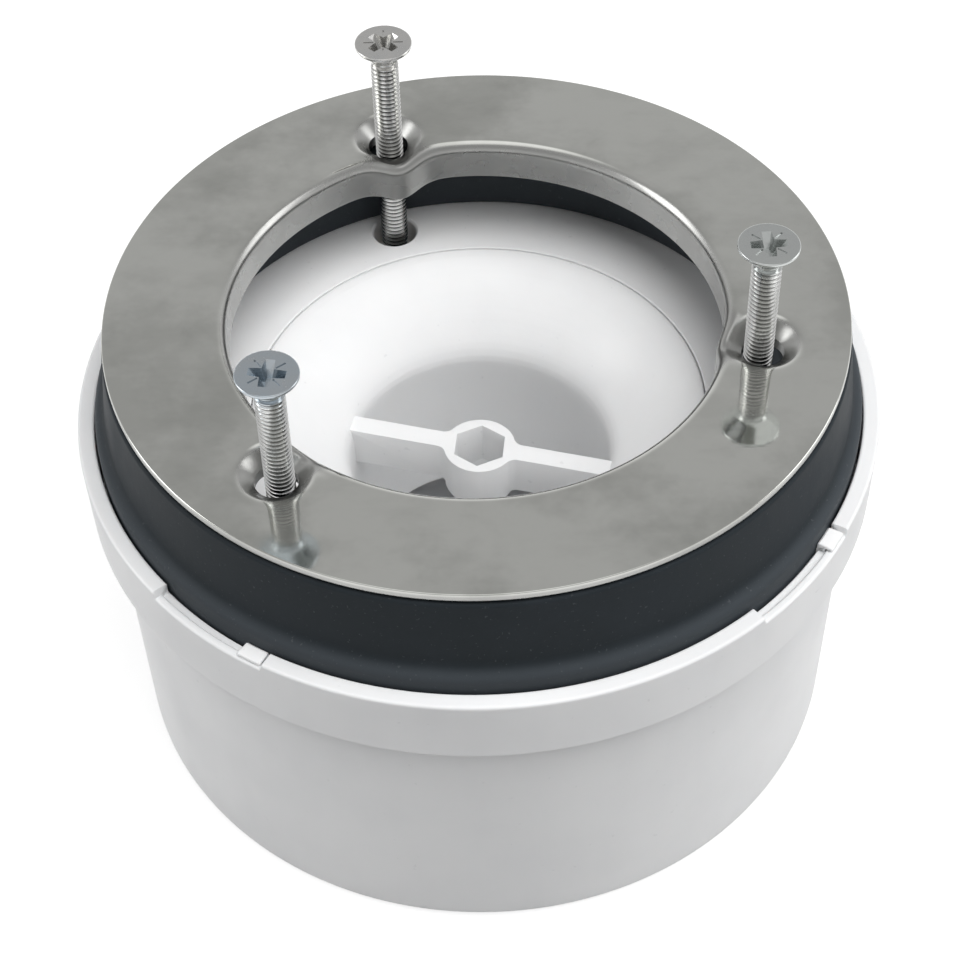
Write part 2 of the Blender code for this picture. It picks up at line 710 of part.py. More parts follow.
def insert_profile():
    """Return the outline of the dish, dip tube and sealing plug."""
    reach = DISH_R - WELL_R
    curve = [(WELL_R + across * reach, WELL_TOP_Z + up * DISH_DEPTH) for across, up in DISH_CURVE]
    plug_in_r = PLUG_R - PLUG_WALL
    groove_low = PLUG_FOOT_Z + GROOVE_FOOT
    groove_high = groove_low + GROOVE_H
    upper = [(WELL_R, WELL_TOP_Z - EDGE), (WELL_R + 0.5 * EDGE, WELL_TOP_Z + EDGE)]
    upper += curve
    upper += [(DISH_R - EDGE, FLANGE_TOP_Z), (DISH_R, FLANGE_TOP_Z - EDGE)]
    rim_low = FLANGE_TOP_Z - DISH_RIM_T
    tube_foot_r = WELL_R - TUBE_TAPER
    slope = DISH_DEPTH / reach
    plug_root_z = WELL_TOP_Z + (plug_in_r - WELL_R) * slope - DISH_WALL
    lower = [
        (DISH_R, rim_low),
        (PLUG_R, rim_low),
        (PLUG_R, groove_high),
        (GROOVE_R, groove_high),
        (GROOVE_R, groove_low),
        (PLUG_R, groove_low),
        (PLUG_R, PLUG_FOOT_Z),
        (plug_in_r, PLUG_FOOT_Z),
        (plug_in_r, plug_root_z),
        (WELL_R + TUBE_WALL, WELL_TOP_Z + TUBE_WALL * slope - DISH_WALL),
        (tube_foot_r + TUBE_WALL, TUBE_FOOT_Z),
        (tube_foot_r, TUBE_FOOT_Z),
    ]
    return upper + lower


def bar_outline(reach):
    """Return the plan outline of the straight bar with flared roots at the hub."""
    half = 0.5 * BAR_WIDTH
    root = HUB_R + HUB_FILLET
    flare = half + 0.5 * HUB_FILLET
    quarter = [(reach, half), (root, half), (HUB_R, flare)]
    outline = [(x, y) for x, y in quarter]
    outline += [(-x, y) for x, y in reversed(quarter)]
    outline += [(-x, -y) for x, y in quarter]
    outline += [(x, -y) for x, y in reversed(quarter)]
    turn = Matrix.Rotation(math.radians(BAR_DEG), 2)
    return [tuple(turn @ Vector(point)) for point in outline]


def hex_outline():
    """Return the plan outline of the hexagonal socket."""
    corner_r = HEX_FLATS / math.sqrt(3.0)
    return [tuple(polar(corner_r, HEX_CORNER_DEG + 60.0 * index)[:2]) for index in range(6)]


def build_trap_insert():
    """Build the lift-out insert with its bar and hexagonal hub."""
    insert = lathe("trap_insert", insert_profile(), ROUND_SEGMENTS, "white_moulding")
    reach = WELL_R + 0.4 * TUBE_WALL
    bar = prism("bar", bar_outline(reach), WELL_TOP_Z - BAR_HEIGHT, WELL_TOP_Z)
    hub = post("hub", HUB_R, WELL_TOP_Z - HUB_HEIGHT, WELL_TOP_Z, SMALL_SEGMENTS)
    combine(bar, hub, "UNION")
    combine(insert, bar, "UNION")
    socket = prism("socket", hex_outline(), WELL_TOP_Z - 2.0 * HUB_HEIGHT, WELL_TOP_Z + HUB_HEIGHT)
    combine(insert, socket, "DIFFERENCE")
    return smooth(insert)


def build_insert_ring():
    """Build the round sealing ring in the groove of the insert."""
    middle = PLUG_FOOT_Z + GROOVE_FOOT + 0.5 * GROOVE_H
    profile = []
    for step in range(ORING_SIDES):
        angle = 2.0 * math.pi * (step + 0.5) / ORING_SIDES
        profile.append((ORING_CENTRE_R + ORING_SECTION_R * math.cos(angle),
                        middle + ORING_SECTION_R * math.sin(angle)))
    return smooth(lathe("insert_oring", profile, ROUND_SEGMENTS, "seal_rubber"))


def main():
    """Build every piece of the trap."""
    clear_scene()
    build_pot()
    build_flat_seal()
    build_flange()
    build_threaded_inserts()
    build_gasket()
    build_clamp_ring()
    build_screws()
    build_trap_insert()
    build_insert_ring()


main()
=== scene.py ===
"""Shower drain trap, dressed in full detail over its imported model.

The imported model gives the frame: metres, +Z up, origin at the centre of the pot underside, outlet along +Y.
Each piece is built here at full smoothness inside the box of its solid, and rides on that solid's body.
"""

import logging
import math
from dataclasses import dataclass, replace
from enum import Enum
from typing import Sequence

import bmesh
import bpy
import numpy as np
from mathutils import Matrix, Vector


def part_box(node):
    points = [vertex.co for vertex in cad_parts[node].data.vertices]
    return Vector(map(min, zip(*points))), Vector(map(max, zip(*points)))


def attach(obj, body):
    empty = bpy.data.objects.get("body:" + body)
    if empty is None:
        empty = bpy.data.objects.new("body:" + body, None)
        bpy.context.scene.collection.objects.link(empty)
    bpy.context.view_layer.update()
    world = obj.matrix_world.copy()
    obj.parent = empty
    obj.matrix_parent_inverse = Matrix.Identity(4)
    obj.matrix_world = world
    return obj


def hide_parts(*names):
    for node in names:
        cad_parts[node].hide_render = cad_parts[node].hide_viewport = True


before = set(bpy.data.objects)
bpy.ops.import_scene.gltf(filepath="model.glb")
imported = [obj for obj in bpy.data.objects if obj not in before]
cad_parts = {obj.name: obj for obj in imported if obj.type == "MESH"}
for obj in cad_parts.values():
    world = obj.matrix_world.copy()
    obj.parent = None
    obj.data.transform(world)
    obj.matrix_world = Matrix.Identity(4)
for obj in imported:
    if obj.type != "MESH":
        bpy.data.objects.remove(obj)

MM = 0.001
SCREW_COUNT = 3
# Edges sharper than this stay crisp in the shading.
CREASE = math.radians(34.0)
# Points closer than this are one point.
MERGE = 0.0002 * MM
# A rounding takes at most this share of the side that it starts on, and its guard point stands a
# little further out.
SIDE_SHARE = 0.45
GUARD = 1.1

log = logging.getLogger("drain_trap")

Colour = tuple[float, float, float, float]


class Cut(Enum):
    """How a tool shape acts on a piece."""

    JOIN = "UNION"
    REMOVE = "DIFFERENCE"


class Slot(Enum):
    """The finish slots that the record lists."""

    WHITE = "white_moulding"
    BRIGHT = "bright_moulding"
    RUBBER = "black_rubber"
    SEAL = "seal_rubber"
    PRESSED = "pressed_steel"
    PLATED = "plated_steel"
    BRASS = "machined_brass"


class Sock:
    """A node socket on which plain arithmetic adds Math nodes."""

    def __init__(self, graph: "Graph", socket: bpy.types.NodeSocket) -> None:
        """Wrap one output socket of a graph."""
        self.graph = graph
        self.socket = socket

    def maths(self, operation: str, *others: "Sock | float", swapped: bool = False) -> "Sock":
        """Add one Math node.

        Args:
            operation: the Math node's operation.
            others: the other inputs.
            swapped: whether this socket is the second input.

        Returns:
            The node's output.
        """
        terms = [self, *others]
        if swapped:
            terms[0], terms[1] = terms[1], terms[0]
        made = self.graph.node("ShaderNodeMath", {"operation": operation}, dict(enumerate(terms)))
        return Sock(self.graph, made.outputs[0])

    def __add__(self, other: "Sock | float") -> "Sock":
        """Return this plus other."""
        return self.maths("ADD", other)

    __radd__ = __add__

    def __mul__(self, other: "Sock | float") -> "Sock":
        """Return this times other."""
        return self.maths("MULTIPLY", other)

    __rmul__ = __mul__

    def __sub__(self, other: "Sock | float") -> "Sock":
        """Return this minus other."""
        return self.maths("SUBTRACT", other)

    def __rsub__(self, other: "Sock | float") -> "Sock":
        """Return other minus this."""
        return self.maths("SUBTRACT", other, swapped=True)

    def __truediv__(self, other: "Sock | float") -> "Sock":
        """Return this over other."""
        return self.maths("DIVIDE", other)

    def __pow__(self, other: "Sock | float") -> "Sock":
        """Return this to a power."""
        return self.maths("POWER", other)

    def ramp(self, low: float, high: float) -> "Sock":
        """Return a smooth 0 to 1 as this goes from low to high."""
        made = self.graph.node(
            "ShaderNodeMapRange",
            {"interpolation_type": "SMOOTHSTEP"},
            {"Value": self, "From Min": low, "From Max": high},
        )
        return Sock(self.graph, made.outputs[0])


class Graph:
    """A node tree with one method that adds any node."""

    def __init__(self, tree: bpy.types.NodeTree) -> None:
        """Start from an empty tree."""
        self.tree = tree
        self.tree.nodes.clear()

    def node(self, kind: str, settings: dict | None = None, values: dict | None = None) -> bpy.types.Node:
        """Add a node, set it, then fill or link its inputs.

        Args:
            kind: the node's type.
            settings: its own settings, such as a Math node's operation.
            values: a number, colour, Sock or list of Socks for each input name or index.

        Returns:
            The node.
        """
        made = self.tree.nodes.new(kind)
        for key, value in (settings or {}).items():
            setattr(made, key, value)
        for key, value in (values or {}).items():
            socket = made.inputs[key]
            if isinstance(value, list):
                for one in reversed(value):
                    self.tree.links.new(one.socket, socket)
            elif isinstance(value, Sock):
                self.tree.links.new(value.socket, socket)
            else:
                socket.default_value = value
        return made

    def out(self, kind: str, settings: dict | None = None, values: dict | None = None,
            output: int | str = 0) -> Sock:
        """Add a node and return one of its outputs."""
        return Sock(self, self.node(kind, settings, values).outputs[output])

    def split(self, vector: Sock) -> tuple[Sock, Sock, Sock]:
        """Return the x, y and z of a vector."""
        made = self.node("ShaderNodeSeparateXYZ", None, {0: vector})
        return Sock(self, made.outputs[0]), Sock(self, made.outputs[1]), Sock(self, made.outputs[2])

    def join(self, x: "Sock | float", y: "Sock | float", z: "Sock | float") -> Sock:
        """Return a vector of three values."""
        return self.out("ShaderNodeCombineXYZ", None, {0: x, 1: y, 2: z})


class Paint(Graph):
    """A material's graph, with the patterns that the finishes share."""

    def __init__(self, name: str) -> None:
        """Make the material and its empty graph.

        Args:
            name: the material's name.
        """
        self.material = bpy.data.materials.new(name)
        self.material.use_nodes = True
        super().__init__(self.material.node_tree)
        self.place = self.out("ShaderNodeTexCoord", None, None, "Object")

    def noise(self, size: float, detail: float = 3.0, roughness: float = 0.55,
              place: Sock | None = None, stretch: tuple[float, float, float] = (1.0, 1.0, 1.0)) -> Sock:
        """Return a 0 to 1 noise.

        Args:
            size: width of its patches in metres.
            detail: octaves.
            roughness: strength of the fine octaves.
            place: coordinates, or the object's own.
            stretch: factor on each axis of the coordinates.

        Returns:
            The noise value.
        """
        where = self.out("ShaderNodeMapping", None, {"Vector": place or self.place, "Scale": stretch})
        return self.out("ShaderNodeTexNoise", None,
                        {"Vector": where, "Scale": 1.0 / size, "Detail": detail, "Roughness": roughness})

    def blend(self, factor: "Sock | float", first: "Sock | Colour", second: "Sock | Colour") -> Sock:
        """Return a colour between two."""
        return self.out("ShaderNodeMix", {"data_type": "RGBA"}, {0: factor, 6: first, 7: second}, 2)

    def bump(self, height: Sock, depth: float, under: Sock | None = None) -> Sock:
        """Return a normal raised by a height.

        Args:
            height: the height, from 0 to 1.
            depth: what a height of 1 stands for, in metres.
            under: the normal that this one is laid over.

        Returns:
            The normal.
        """
        values: dict = {"Height": height, "Distance": depth, "Strength": 1.0}
        if under is not None:
            values["Normal"] = under
        return self.out("ShaderNodeBump", None, values)

    def finish(self, values: dict) -> bpy.types.Material:
        """Add the shader and the output.

        Args:
            values: a value or link for each of the shader's inputs, by name.

        Returns:
            The material.
        """
        shader = self.out("ShaderNodeBsdfPrincipled", None, values)
        self.node("ShaderNodeOutputMaterial", None, {"Surface": shader})
        return self.material


@dataclass(frozen=True)
class MouldedPlastic:
    """Injection moulded plastic: soft gloss, fine mould grain, faint clouding and handling marks."""

    name: str
    tint: Colour
    shade: Colour
    gloss_roughness: float = 0.34
    grain_size: float = 0.35 * MM
    grain_depth: float = 0.006 * MM
    cloud_size: float = 14.0 * MM
    flow_size: float = 5.0 * MM
    wave_size: float = 6.0 * MM
    wave_depth: float = 0.05 * MM
    speck_size: float = 1.1 * MM
    mark_tint: Colour = (0.52, 0.53, 0.54, 1.0)
    translucency: float = 0.12
    glow_depth: float = 0.9 * MM
    glow_spread: tuple[float, float, float] = (1.0, 0.9, 0.85)

    def material(self) -> bpy.types.Material:
        """Paint the plastic.

        Returns:
            The material.
        """
        paint = Paint(self.name)
        cloud = paint.noise(self.cloud_size, 4.0).ramp(0.3, 0.75)
        flow = paint.noise(self.flow_size, 3.0, stretch=(1.0, 1.0, 0.22)).ramp(0.35, 0.8)
        speck = paint.noise(self.speck_size, 2.0, 0.4).ramp(0.72, 0.80)
        base = paint.blend(cloud * 0.55 + flow * 0.3, self.tint, self.shade)
        marked = paint.blend(speck * 0.22, base, self.mark_tint)
        grain = paint.noise(self.grain_size, 2.0, 0.5)
        wave = paint.noise(self.wave_size, 1.0)
        normal = paint.bump(grain, self.grain_depth, paint.bump(wave, self.wave_depth))
        return paint.finish({
            "Base Color": marked,
            "Roughness": self.gloss_roughness + (cloud * 0.10 + flow * 0.05),
            "Normal": normal,
            "Subsurface Weight": self.translucency,
            "Subsurface Radius": self.glow_spread,
            "Subsurface Scale": self.glow_depth,
            "IOR": 1.49,
        })


@dataclass(frozen=True)
class Rubber:
    """Moulded rubber: dark, dull, with a pale bloom, a fine pebble grain and a painted highlight on its
    flared foot.
    """

    name: str
    tint: Colour
    bloom: Colour
    dullness: float = 0.52
    sheen: float = 0.09
    bloom_size: float = 11.0 * MM
    dust_size: float = 0.5 * MM
    dust_tint: Colour = (0.30, 0.31, 0.32, 1.0)
    pebble_size: float = 0.28 * MM
    pebble_depth: float = 0.012 * MM
    drag_size: float = 2.2 * MM
    drag_depth: float = 0.03 * MM
    flare_z: float = 0.0
    # Painted highlight: the paler colour given below flare_z, where light falls on the flared foot.
    foot_highlight_tint: Colour = (0.070, 0.080, 0.090, 1.0)

    def material(self) -> bpy.types.Material:
        """Paint the rubber, paler below flare_z, where light falls on the flared foot.

        Returns:
            The material.
        """
        paint = Paint(self.name)
        flare = (self.flare_z - paint.split(paint.place)[2]).ramp(-0.3 * MM, 1.1 * MM)
        patches = paint.noise(self.bloom_size, 5.0, 0.6).ramp(0.38, 0.78)
        dust = paint.noise(self.dust_size, 2.0, 0.5).ramp(0.66, 0.74)
        base = paint.blend(patches * 0.6, self.tint, self.bloom)
        # Painted highlight on the flared foot below flare_z.
        base = paint.blend(flare * 0.55, base, self.foot_highlight_tint)
        dusty = paint.blend(dust * 0.10, base, self.dust_tint)
        pebble = paint.noise(self.pebble_size, 2.0, 0.5)
        drag = paint.noise(self.drag_size, 2.0, stretch=(1.0, 1.0, 0.3))
        normal = paint.bump(pebble, self.pebble_depth, paint.bump(drag, self.drag_depth))
        return paint.finish({
            "Base Color": dusty,
            "Roughness": self.dullness + (patches * 0.12 + dust * 0.08),
            "Normal": normal,
            "Specular IOR Level": self.sheen,
            "IOR": 1.50,
        })


@dataclass(frozen=True)
class PressedSteel:
    """Rolled and pressed stainless sheet: cloudy handling smears, duller where it is drawn down, and painted
    shade darkening the drawn-down lip and dimples.
    """

    name: str
    tint: Colour
    smear_tint: Colour
    polish: float = 0.045
    face_z: float = 69.3 * MM
    drawn_dullness: float = 0.21
    # Painted shade: the colour that darkens the lip, bend and dimples below the face.
    drawn_shade_tint: Colour = (0.33, 0.33, 0.325, 1.0)
    smear_size: float = 24.0 * MM
    wipe_size: float = 9.0 * MM
    scuff_size: float = 4.5 * MM
    scuff_tint: Colour = (0.30, 0.30, 0.29, 1.0)
    rolled_size: float = 0.30 * MM
    rolled_depth: float = 0.0015 * MM
    wave_size: float = 9.0 * MM
    wave_depth: float = 0.02 * MM

    def material(self) -> bpy.types.Material:
        """Paint the sheet.

        Returns:
            The material.
        """
        paint = Paint(self.name)
        drawn_and_shaded = (self.face_z - paint.split(paint.place)[2]).ramp(0.02 * MM, 0.55 * MM)
        smear = paint.noise(self.smear_size, 5.0, 0.60).ramp(0.42, 0.62)
        wipe = paint.noise(self.wipe_size, 4.0, 0.6, stretch=(0.75, 1.2, 1.0)).ramp(0.42, 0.70)
        scuff = paint.noise(self.scuff_size, 3.0, 0.6).ramp(0.60, 0.80) * smear * (1.0 - drawn_and_shaded)
        rolled = paint.noise(self.rolled_size, 2.0, 0.5, stretch=(0.05, 1.0, 1.0))
        base = paint.blend(smear * 0.65 + wipe * 0.30, self.tint, self.smear_tint)
        marked = paint.blend(scuff * 0.18, base, self.scuff_tint)
        # Painted shade: below the face the lip and dimples are darkened toward the drawn tint; the same mask
        # also dulls them.
        marked = paint.blend(drawn_and_shaded * 0.75, marked, self.drawn_shade_tint)
        wave = paint.bump(paint.noise(self.wave_size, 2.0), self.wave_depth)
        normal = paint.bump(rolled, self.rolled_depth, wave)
        dulled = smear * 0.06 + wipe * 0.04 + scuff * 0.05 + drawn_and_shaded * self.drawn_dullness
        return paint.finish({
            "Base Color": marked,
            "Metallic": 1.0,
            "Roughness": self.polish + dulled,
            "Normal": normal,
        })


@dataclass(frozen=True)
class TurnedMetal:
    """Plated or machined metal of a small turned piece: lines about its own axis and a spotty polish.

    Below thread_top the colour goes by the distance from the axis, from painted shade in the thread's roots
    to a painted highlight on its crests.
    """

    name: str
    tint: Colour
    spot_tint: Colour
    polish: float
    axis: tuple[float, float] = (0.0, 0.0)
    line_pitch: float = 0.12 * MM
    thread_top: float = 0.0
    thread_radii: tuple[float, float] = (0.0, 1.0 * MM)
    crest_highlight_tint: Colour = (0.86, 0.86, 0.85, 1.0)
    root_shade_tint: Colour = (0.14, 0.14, 0.138, 1.0)
    thread_fade: tuple[float, float] = (0.2 * MM, 1.2 * MM)
    line_depth: float = 0.002 * MM
    spot_size: float = 0.9 * MM
    stain_size: float = 3.0 * MM

    def material(self) -> bpy.types.Material:
        """Paint the metal.

        Returns:
            The material.
        """
        paint = Paint(self.name)
        x, y, z = paint.split(paint.place)
        across = x - self.axis[0]
        along = y - self.axis[1]
        radius = (across * across + along * along) ** 0.5
        lines = paint.noise(self.line_pitch, 2.0, 0.5, place=paint.join(radius, z, 0.0))
        spots = paint.noise(self.spot_size, 4.0, 0.6).ramp(0.45, 0.75)
        stain = paint.noise(self.stain_size, 3.0).ramp(0.4, 0.75)
        base = paint.blend(spots * 0.35 + stain * 0.35, self.tint, self.spot_tint)
        # Painted highlight on the thread's crests and painted shade in its roots, by distance from the axis.
        ridge = paint.blend(radius.ramp(*self.thread_radii), self.root_shade_tint, self.crest_highlight_tint)
        threaded = (self.thread_top - z).ramp(*self.thread_fade)
        base_with_thread_light = paint.blend(threaded * (1.0 - stain * 0.25), base, ridge)
        return paint.finish({
            "Base Color": base_with_thread_light,
            "Metallic": 1.0,
            "Roughness": self.polish + (spots * 0.10 + stain * 0.06),
            "Normal": paint.bump(lines, self.line_depth),
        })


@dataclass(frozen=True)
class StudioSurface:
    """The pale floor: lit like any surface, and lifted to white for the camera and for reflections."""

    name: str = "studio_floor"
    tint: Colour = (0.36, 0.36, 0.36, 1.0)
    mottle_tint: Colour = (0.34, 0.34, 0.34, 1.0)
    mottle_size: float = 90.0 * MM
    lift: float = 0.76

    def material(self) -> bpy.types.Material:
        """Paint the floor.

        Returns:
            The material.
        """
        paint = Paint(self.name)
        mottle = paint.noise(self.mottle_size, 3.0).ramp(0.3, 0.8)
        base = paint.blend(mottle * 0.3, self.tint, self.mottle_tint)
        rays = paint.node("ShaderNodeLightPath")
        seen = Sock(paint, rays.outputs["Is Camera Ray"])
        for name in ("Is Glossy Ray", "Is Transmission Ray"):
            seen = seen.maths("MAXIMUM", Sock(paint, rays.outputs[name]))
        dull = paint.out("ShaderNodeBsdfDiffuse", None, {"Color": base})
        glow = paint.out("ShaderNodeEmission", None,
                         {"Color": (1.0, 1.0, 1.0, 1.0), "Strength": seen * self.lift})
        both = paint.out("ShaderNodeAddShader", None, {0: dull, 1: glow})
        paint.node("ShaderNodeOutputMaterial", None, {"Surface": both})
        return paint.material


class ShapeTree(Graph):
    """A shape-making node tree with named sizes."""

    KINDS = {float: "NodeSocketFloat", int: "NodeSocketInt"}

    def __init__(self, name: str, sizes: dict[str, type]) -> None:
        """Make the tree.

        Args:
            name: the tree's name.
            sizes: its inputs, by name, with the type of each.
        """
        super().__init__(bpy.data.node_groups.new(name, "GeometryNodeTree"))
        face = self.tree.interface
        face.new_socket(name="Geometry", in_out="INPUT", socket_type="NodeSocketGeometry")
        for size, kind in sizes.items():
            face.new_socket(name=size, in_out="INPUT", socket_type=self.KINDS[kind])
        face.new_socket(name="Material", in_out="INPUT", socket_type="NodeSocketMaterial")
        face.new_socket(name="Geometry", in_out="OUTPUT", socket_type="NodeSocketGeometry")
        self.entry = self.node("NodeGroupInput")

    def size(self, name: str) -> Sock:
        """Return one of the tree's named inputs."""
        return Sock(self, self.entry.outputs[name])

    def close(self, shape: Sock) -> bpy.types.NodeTree:
        """Make the result real and give it its material.

        Args:
            shape: the tree's finished geometry.

        Returns:
            The tree.
        """
        real = self.out("GeometryNodeRealizeInstances", None, {"Geometry": shape})
        painted = self.out("GeometryNodeSetMaterial", None,
                           {"Geometry": real, "Material": self.size("Material")})
        self.node("NodeGroupOutput", None, {"Geometry": painted})
        return self.tree


def apply_tree(piece: bpy.types.Object, tree: bpy.types.NodeTree, sizes: dict) -> None:
    """Run a shape tree on a piece and keep the result as its plain mesh.

    Args:
        piece: the object whose mesh goes in and is replaced.
        tree: the tree.
        sizes: values of its named inputs.
    """
    step = piece.modifiers.new(tree.name, "NODES")
    step.node_group = tree
    for item in tree.interface.items_tree:
        if item.item_type == "SOCKET" and item.in_out == "INPUT" and item.name in sizes:
            step[item.identifier] = sizes[item.name]
    settle(piece)


def settle(piece: bpy.types.Object) -> None:
    """Replace a piece's mesh by what its modifiers make of it, and drop them.

    Args:
        piece: the piece.
    """
    graph = bpy.context.evaluated_depsgraph_get()
    mesh = bpy.data.meshes.new_from_object(piece.evaluated_get(graph))
    piece.modifiers.clear()
    old = piece.data
    piece.data = mesh
    bpy.data.meshes.remove(old)


@dataclass(frozen=True)
class Corner:
    """One corner of an outline: its place, how far from it the rounding starts, and the rounding's steps."""

    across: float
    up: float
    rounding: float = 0.0
    steps: int = 4


def rounded_outline(corners: Sequence[Corner], closed: bool = True) -> np.ndarray:
    """Round the corners of an outline, with a guard point on each side that keeps flats flat.

    Args:
        corners: the corners in order.
        closed: whether the last corner leads back to the first.

    Returns:
        The (across, up) points, one row each.
    """
    points: list[np.ndarray] = []
    count = len(corners)
    for index, corner in enumerate(corners):
        here = np.array((corner.across, corner.up))
        if corner.rounding <= 0.0 or (not closed and index in (0, count - 1)):
            points.append(here)
            continue
        arms = []
        for other in (corners[index - 1], corners[(index + 1) % count]):
            gap = np.array((other.across, other.up)) - here
            length = float(np.linalg.norm(gap))
            arms.append(gap / length * min(corner.rounding, SIDE_SHARE * length))
        points.append(here + arms[0] * GUARD)
        for step in range(corner.steps + 1):
            s = step / corner.steps
            points.append(here + arms[0] * (1.0 - s) ** 2 + arms[1] * s * s)
        points.append(here + arms[1] * GUARD)
    return np.array(points)


def even_turn(count: int) -> np.ndarray:
    """Return evenly spaced azimuths in radians over a full turn."""
    return np.arange(count) * (2.0 * math.pi / count)


def close_shape(data: bmesh.types.BMesh) -> None:
    """Merge a closed shape's doubles and turn its faces outwards.

    Args:
        data: the shape.
    """
    bmesh.ops.remove_doubles(data, verts=data.verts, dist=MERGE)
    bmesh.ops.recalc_face_normals(data, faces=data.faces)
    if data.calc_volume(signed=True) < 0.0:
        bmesh.ops.reverse_faces(data, faces=data.faces)


def link_data(name: str, data: bmesh.types.BMesh) -> bpy.types.Object:
    """Link a shape as it is.

    Args:
        name: the object's name.
        data: the shape, which is freed.

    Returns:
        The object.
    """
    mesh = bpy.data.meshes.new(name)
    data.to_mesh(mesh)
    data.free()
    piece = bpy.data.objects.new(name, mesh)
    bpy.context.scene.collection.objects.link(piece)
    return piece


def link_mesh(name: str, data: bmesh.types.BMesh) -> bpy.types.Object:
    """Merge a closed shape's doubles, turn its faces outwards and link it.

    Args:
        name: the object's name.
        data: the shape, which is freed.

    Returns:
        The object.
    """
    close_shape(data)
    return link_data(name, data)


def face_outwards(piece: bpy.types.Object) -> None:
    """Merge a closed piece's doubles and turn its faces outwards.

    Args:
        piece: the piece.
    """
    data = bmesh.new()
    data.from_mesh(piece.data)
    close_shape(data)
    data.to_mesh(piece.data)
    data.free()


def turned(name: str, outline: np.ndarray, azimuths: np.ndarray, closed: bool = True) -> bpy.types.Object:
    """Turn an outline about Z.

    Args:
        name: the object's name.
        outline: (radius, z) rows, or one such outline for each azimuth.
        azimuths: where the columns stand, in radians.
        closed: whether the outline is a loop; an open one starts and ends on the axis.

    Returns:
        The object.
    """
    columns = len(azimuths)
    sections = outline if outline.ndim == 3 else np.broadcast_to(outline, (columns, *outline.shape))
    poles = [] if closed else [sections[0, 0, 1], sections[0, -1, 1]]
    body = sections if closed else sections[:, 1:-1]
    rows = body.shape[1]
    turn = azimuths[:, None]
    points = np.stack((body[..., 0] * np.cos(turn), body[..., 0] * np.sin(turn), body[..., 1]), axis=-1)
    vertices = points.reshape(-1, 3).tolist() + [(0.0, 0.0, float(z)) for z in poles]
    faces = []
    for column in range(columns):
        here, after = column * rows, (column + 1) % columns * rows
        for row in range(rows if closed else rows - 1):
            up = (row + 1) % rows
            faces.append((here + row, after + row, after + up, here + up))
        if poles:
            faces.append((columns * rows, after, here))
            faces.append((columns * rows + 1, here + rows - 1, after + rows - 1))
    mesh = bpy.data.meshes.new(name)
    mesh.from_pydata(vertices, [], faces)
    data = bmesh.new()
    data.from_mesh(mesh)
    bpy.data.meshes.remove(mesh)
    return link_mesh(name, data)


def lofted(name: str, low: Sequence[tuple[float, float]], low_z: float,
           high: Sequence[tuple[float, float]], high_z: float) -> bpy.types.Object:
    """Make an upright solid between two plan outlines.

    Args:
        name: the object's name.
        low: the points of the lower outline.
        low_z: its height.
        high: the points of the upper outline, as many as below.
        high_z: its height.

    Returns:
        The object.
    """
    data = bmesh.new()
    bottom = [data.verts.new((x, y, low_z)) for x, y in low]
    top = [data.verts.new((x, y, high_z)) for x, y in high]
    data.faces.new(bottom)
    data.faces.new(top)
    for index in range(len(bottom)):
        after = (index + 1) % len(bottom)
        data.faces.new((bottom[index], bottom[after], top[after], top[index]))
    return link_mesh(name, data)


def prism(name: str, outline: Sequence[tuple[float, float]], low: float, high: float) -> bpy.types.Object:
    """Make an upright solid of one plan outline."""
    return lofted(name, outline, low, outline, high)


def circle(radius: float, count: int, centre: tuple[float, float] = (0.0, 0.0)) -> list[tuple[float, float]]:
    """Return the points of a plan circle."""
    return [(centre[0] + radius * math.cos(a), centre[1] + radius * math.sin(a)) for a in even_turn(count)]


def polar(radius: float, degrees: float) -> tuple[float, float]:
    """Return the plan point at a radius and azimuth."""
    angle = math.radians(degrees)
    return radius * math.cos(angle), radius * math.sin(angle)


def swept_arc(name: str, outline: np.ndarray, start: float, end: float, steps: int = 10) -> bpy.types.Object:
    """Sweep a loop about Z and cap its ends.

    Args:
        name: the object's name.
        outline: (radius, z) rows.
        start: the first azimuth in degrees.
        end: the last azimuth in degrees.
        steps: how many slices the sweep has.

    Returns:
        The object.
    """
    data = bmesh.new()
    slices = []
    for angle in np.radians(np.linspace(start, end, steps + 1)):
        slices.append([data.verts.new((r * math.cos(angle), r * math.sin(angle), z)) for r, z in outline])
    for first, second in zip(slices, slices[1:]):
        for index in range(len(outline)):
            after = (index + 1) % len(outline)
            data.faces.new((first[index], first[after], second[after], second[index]))
    data.faces.new(slices[0])
    data.faces.new(slices[-1])
    return link_mesh(name, data)


def place(piece: bpy.types.Object, matrix: Matrix) -> bpy.types.Object:
    """Move a piece's mesh, and leave its object at the origin."""
    piece.data.transform(matrix)
    return piece


def merged(name: str, parts: Sequence[bpy.types.Object]) -> bpy.types.Object:
    """Join the meshes of several objects into one.

    Args:
        name: the new object's name.
        parts: the objects, which are dropped.

    Returns:
        The object.
    """
    data = bmesh.new()
    for part in parts:
        data.from_mesh(part.data)
        bpy.data.objects.remove(part, do_unlink=True)
    return link_data(name, data)


def carve(piece: bpy.types.Object, tool: bpy.types.Object, how: Cut) -> None:
    """Join a tool shape to a piece or cut it away, and drop the tool.

    Args:
        piece: the piece.
        tool: the tool shape.
        how: whether it is joined or cut away.
    """
    step = piece.modifiers.new(how.name, "BOOLEAN")
    step.operation = how.value
    step.solver = "EXACT"
    step.object = tool
    settle(piece)
    bpy.data.objects.remove(tool, do_unlink=True)
    data = bmesh.new()
    data.from_mesh(piece.data)
    bmesh.ops.remove_doubles(data, verts=data.verts, dist=MERGE)
    bmesh.ops.dissolve_degenerate(data, edges=data.edges, dist=MERGE)
    data.to_mesh(piece.data)
    data.free()


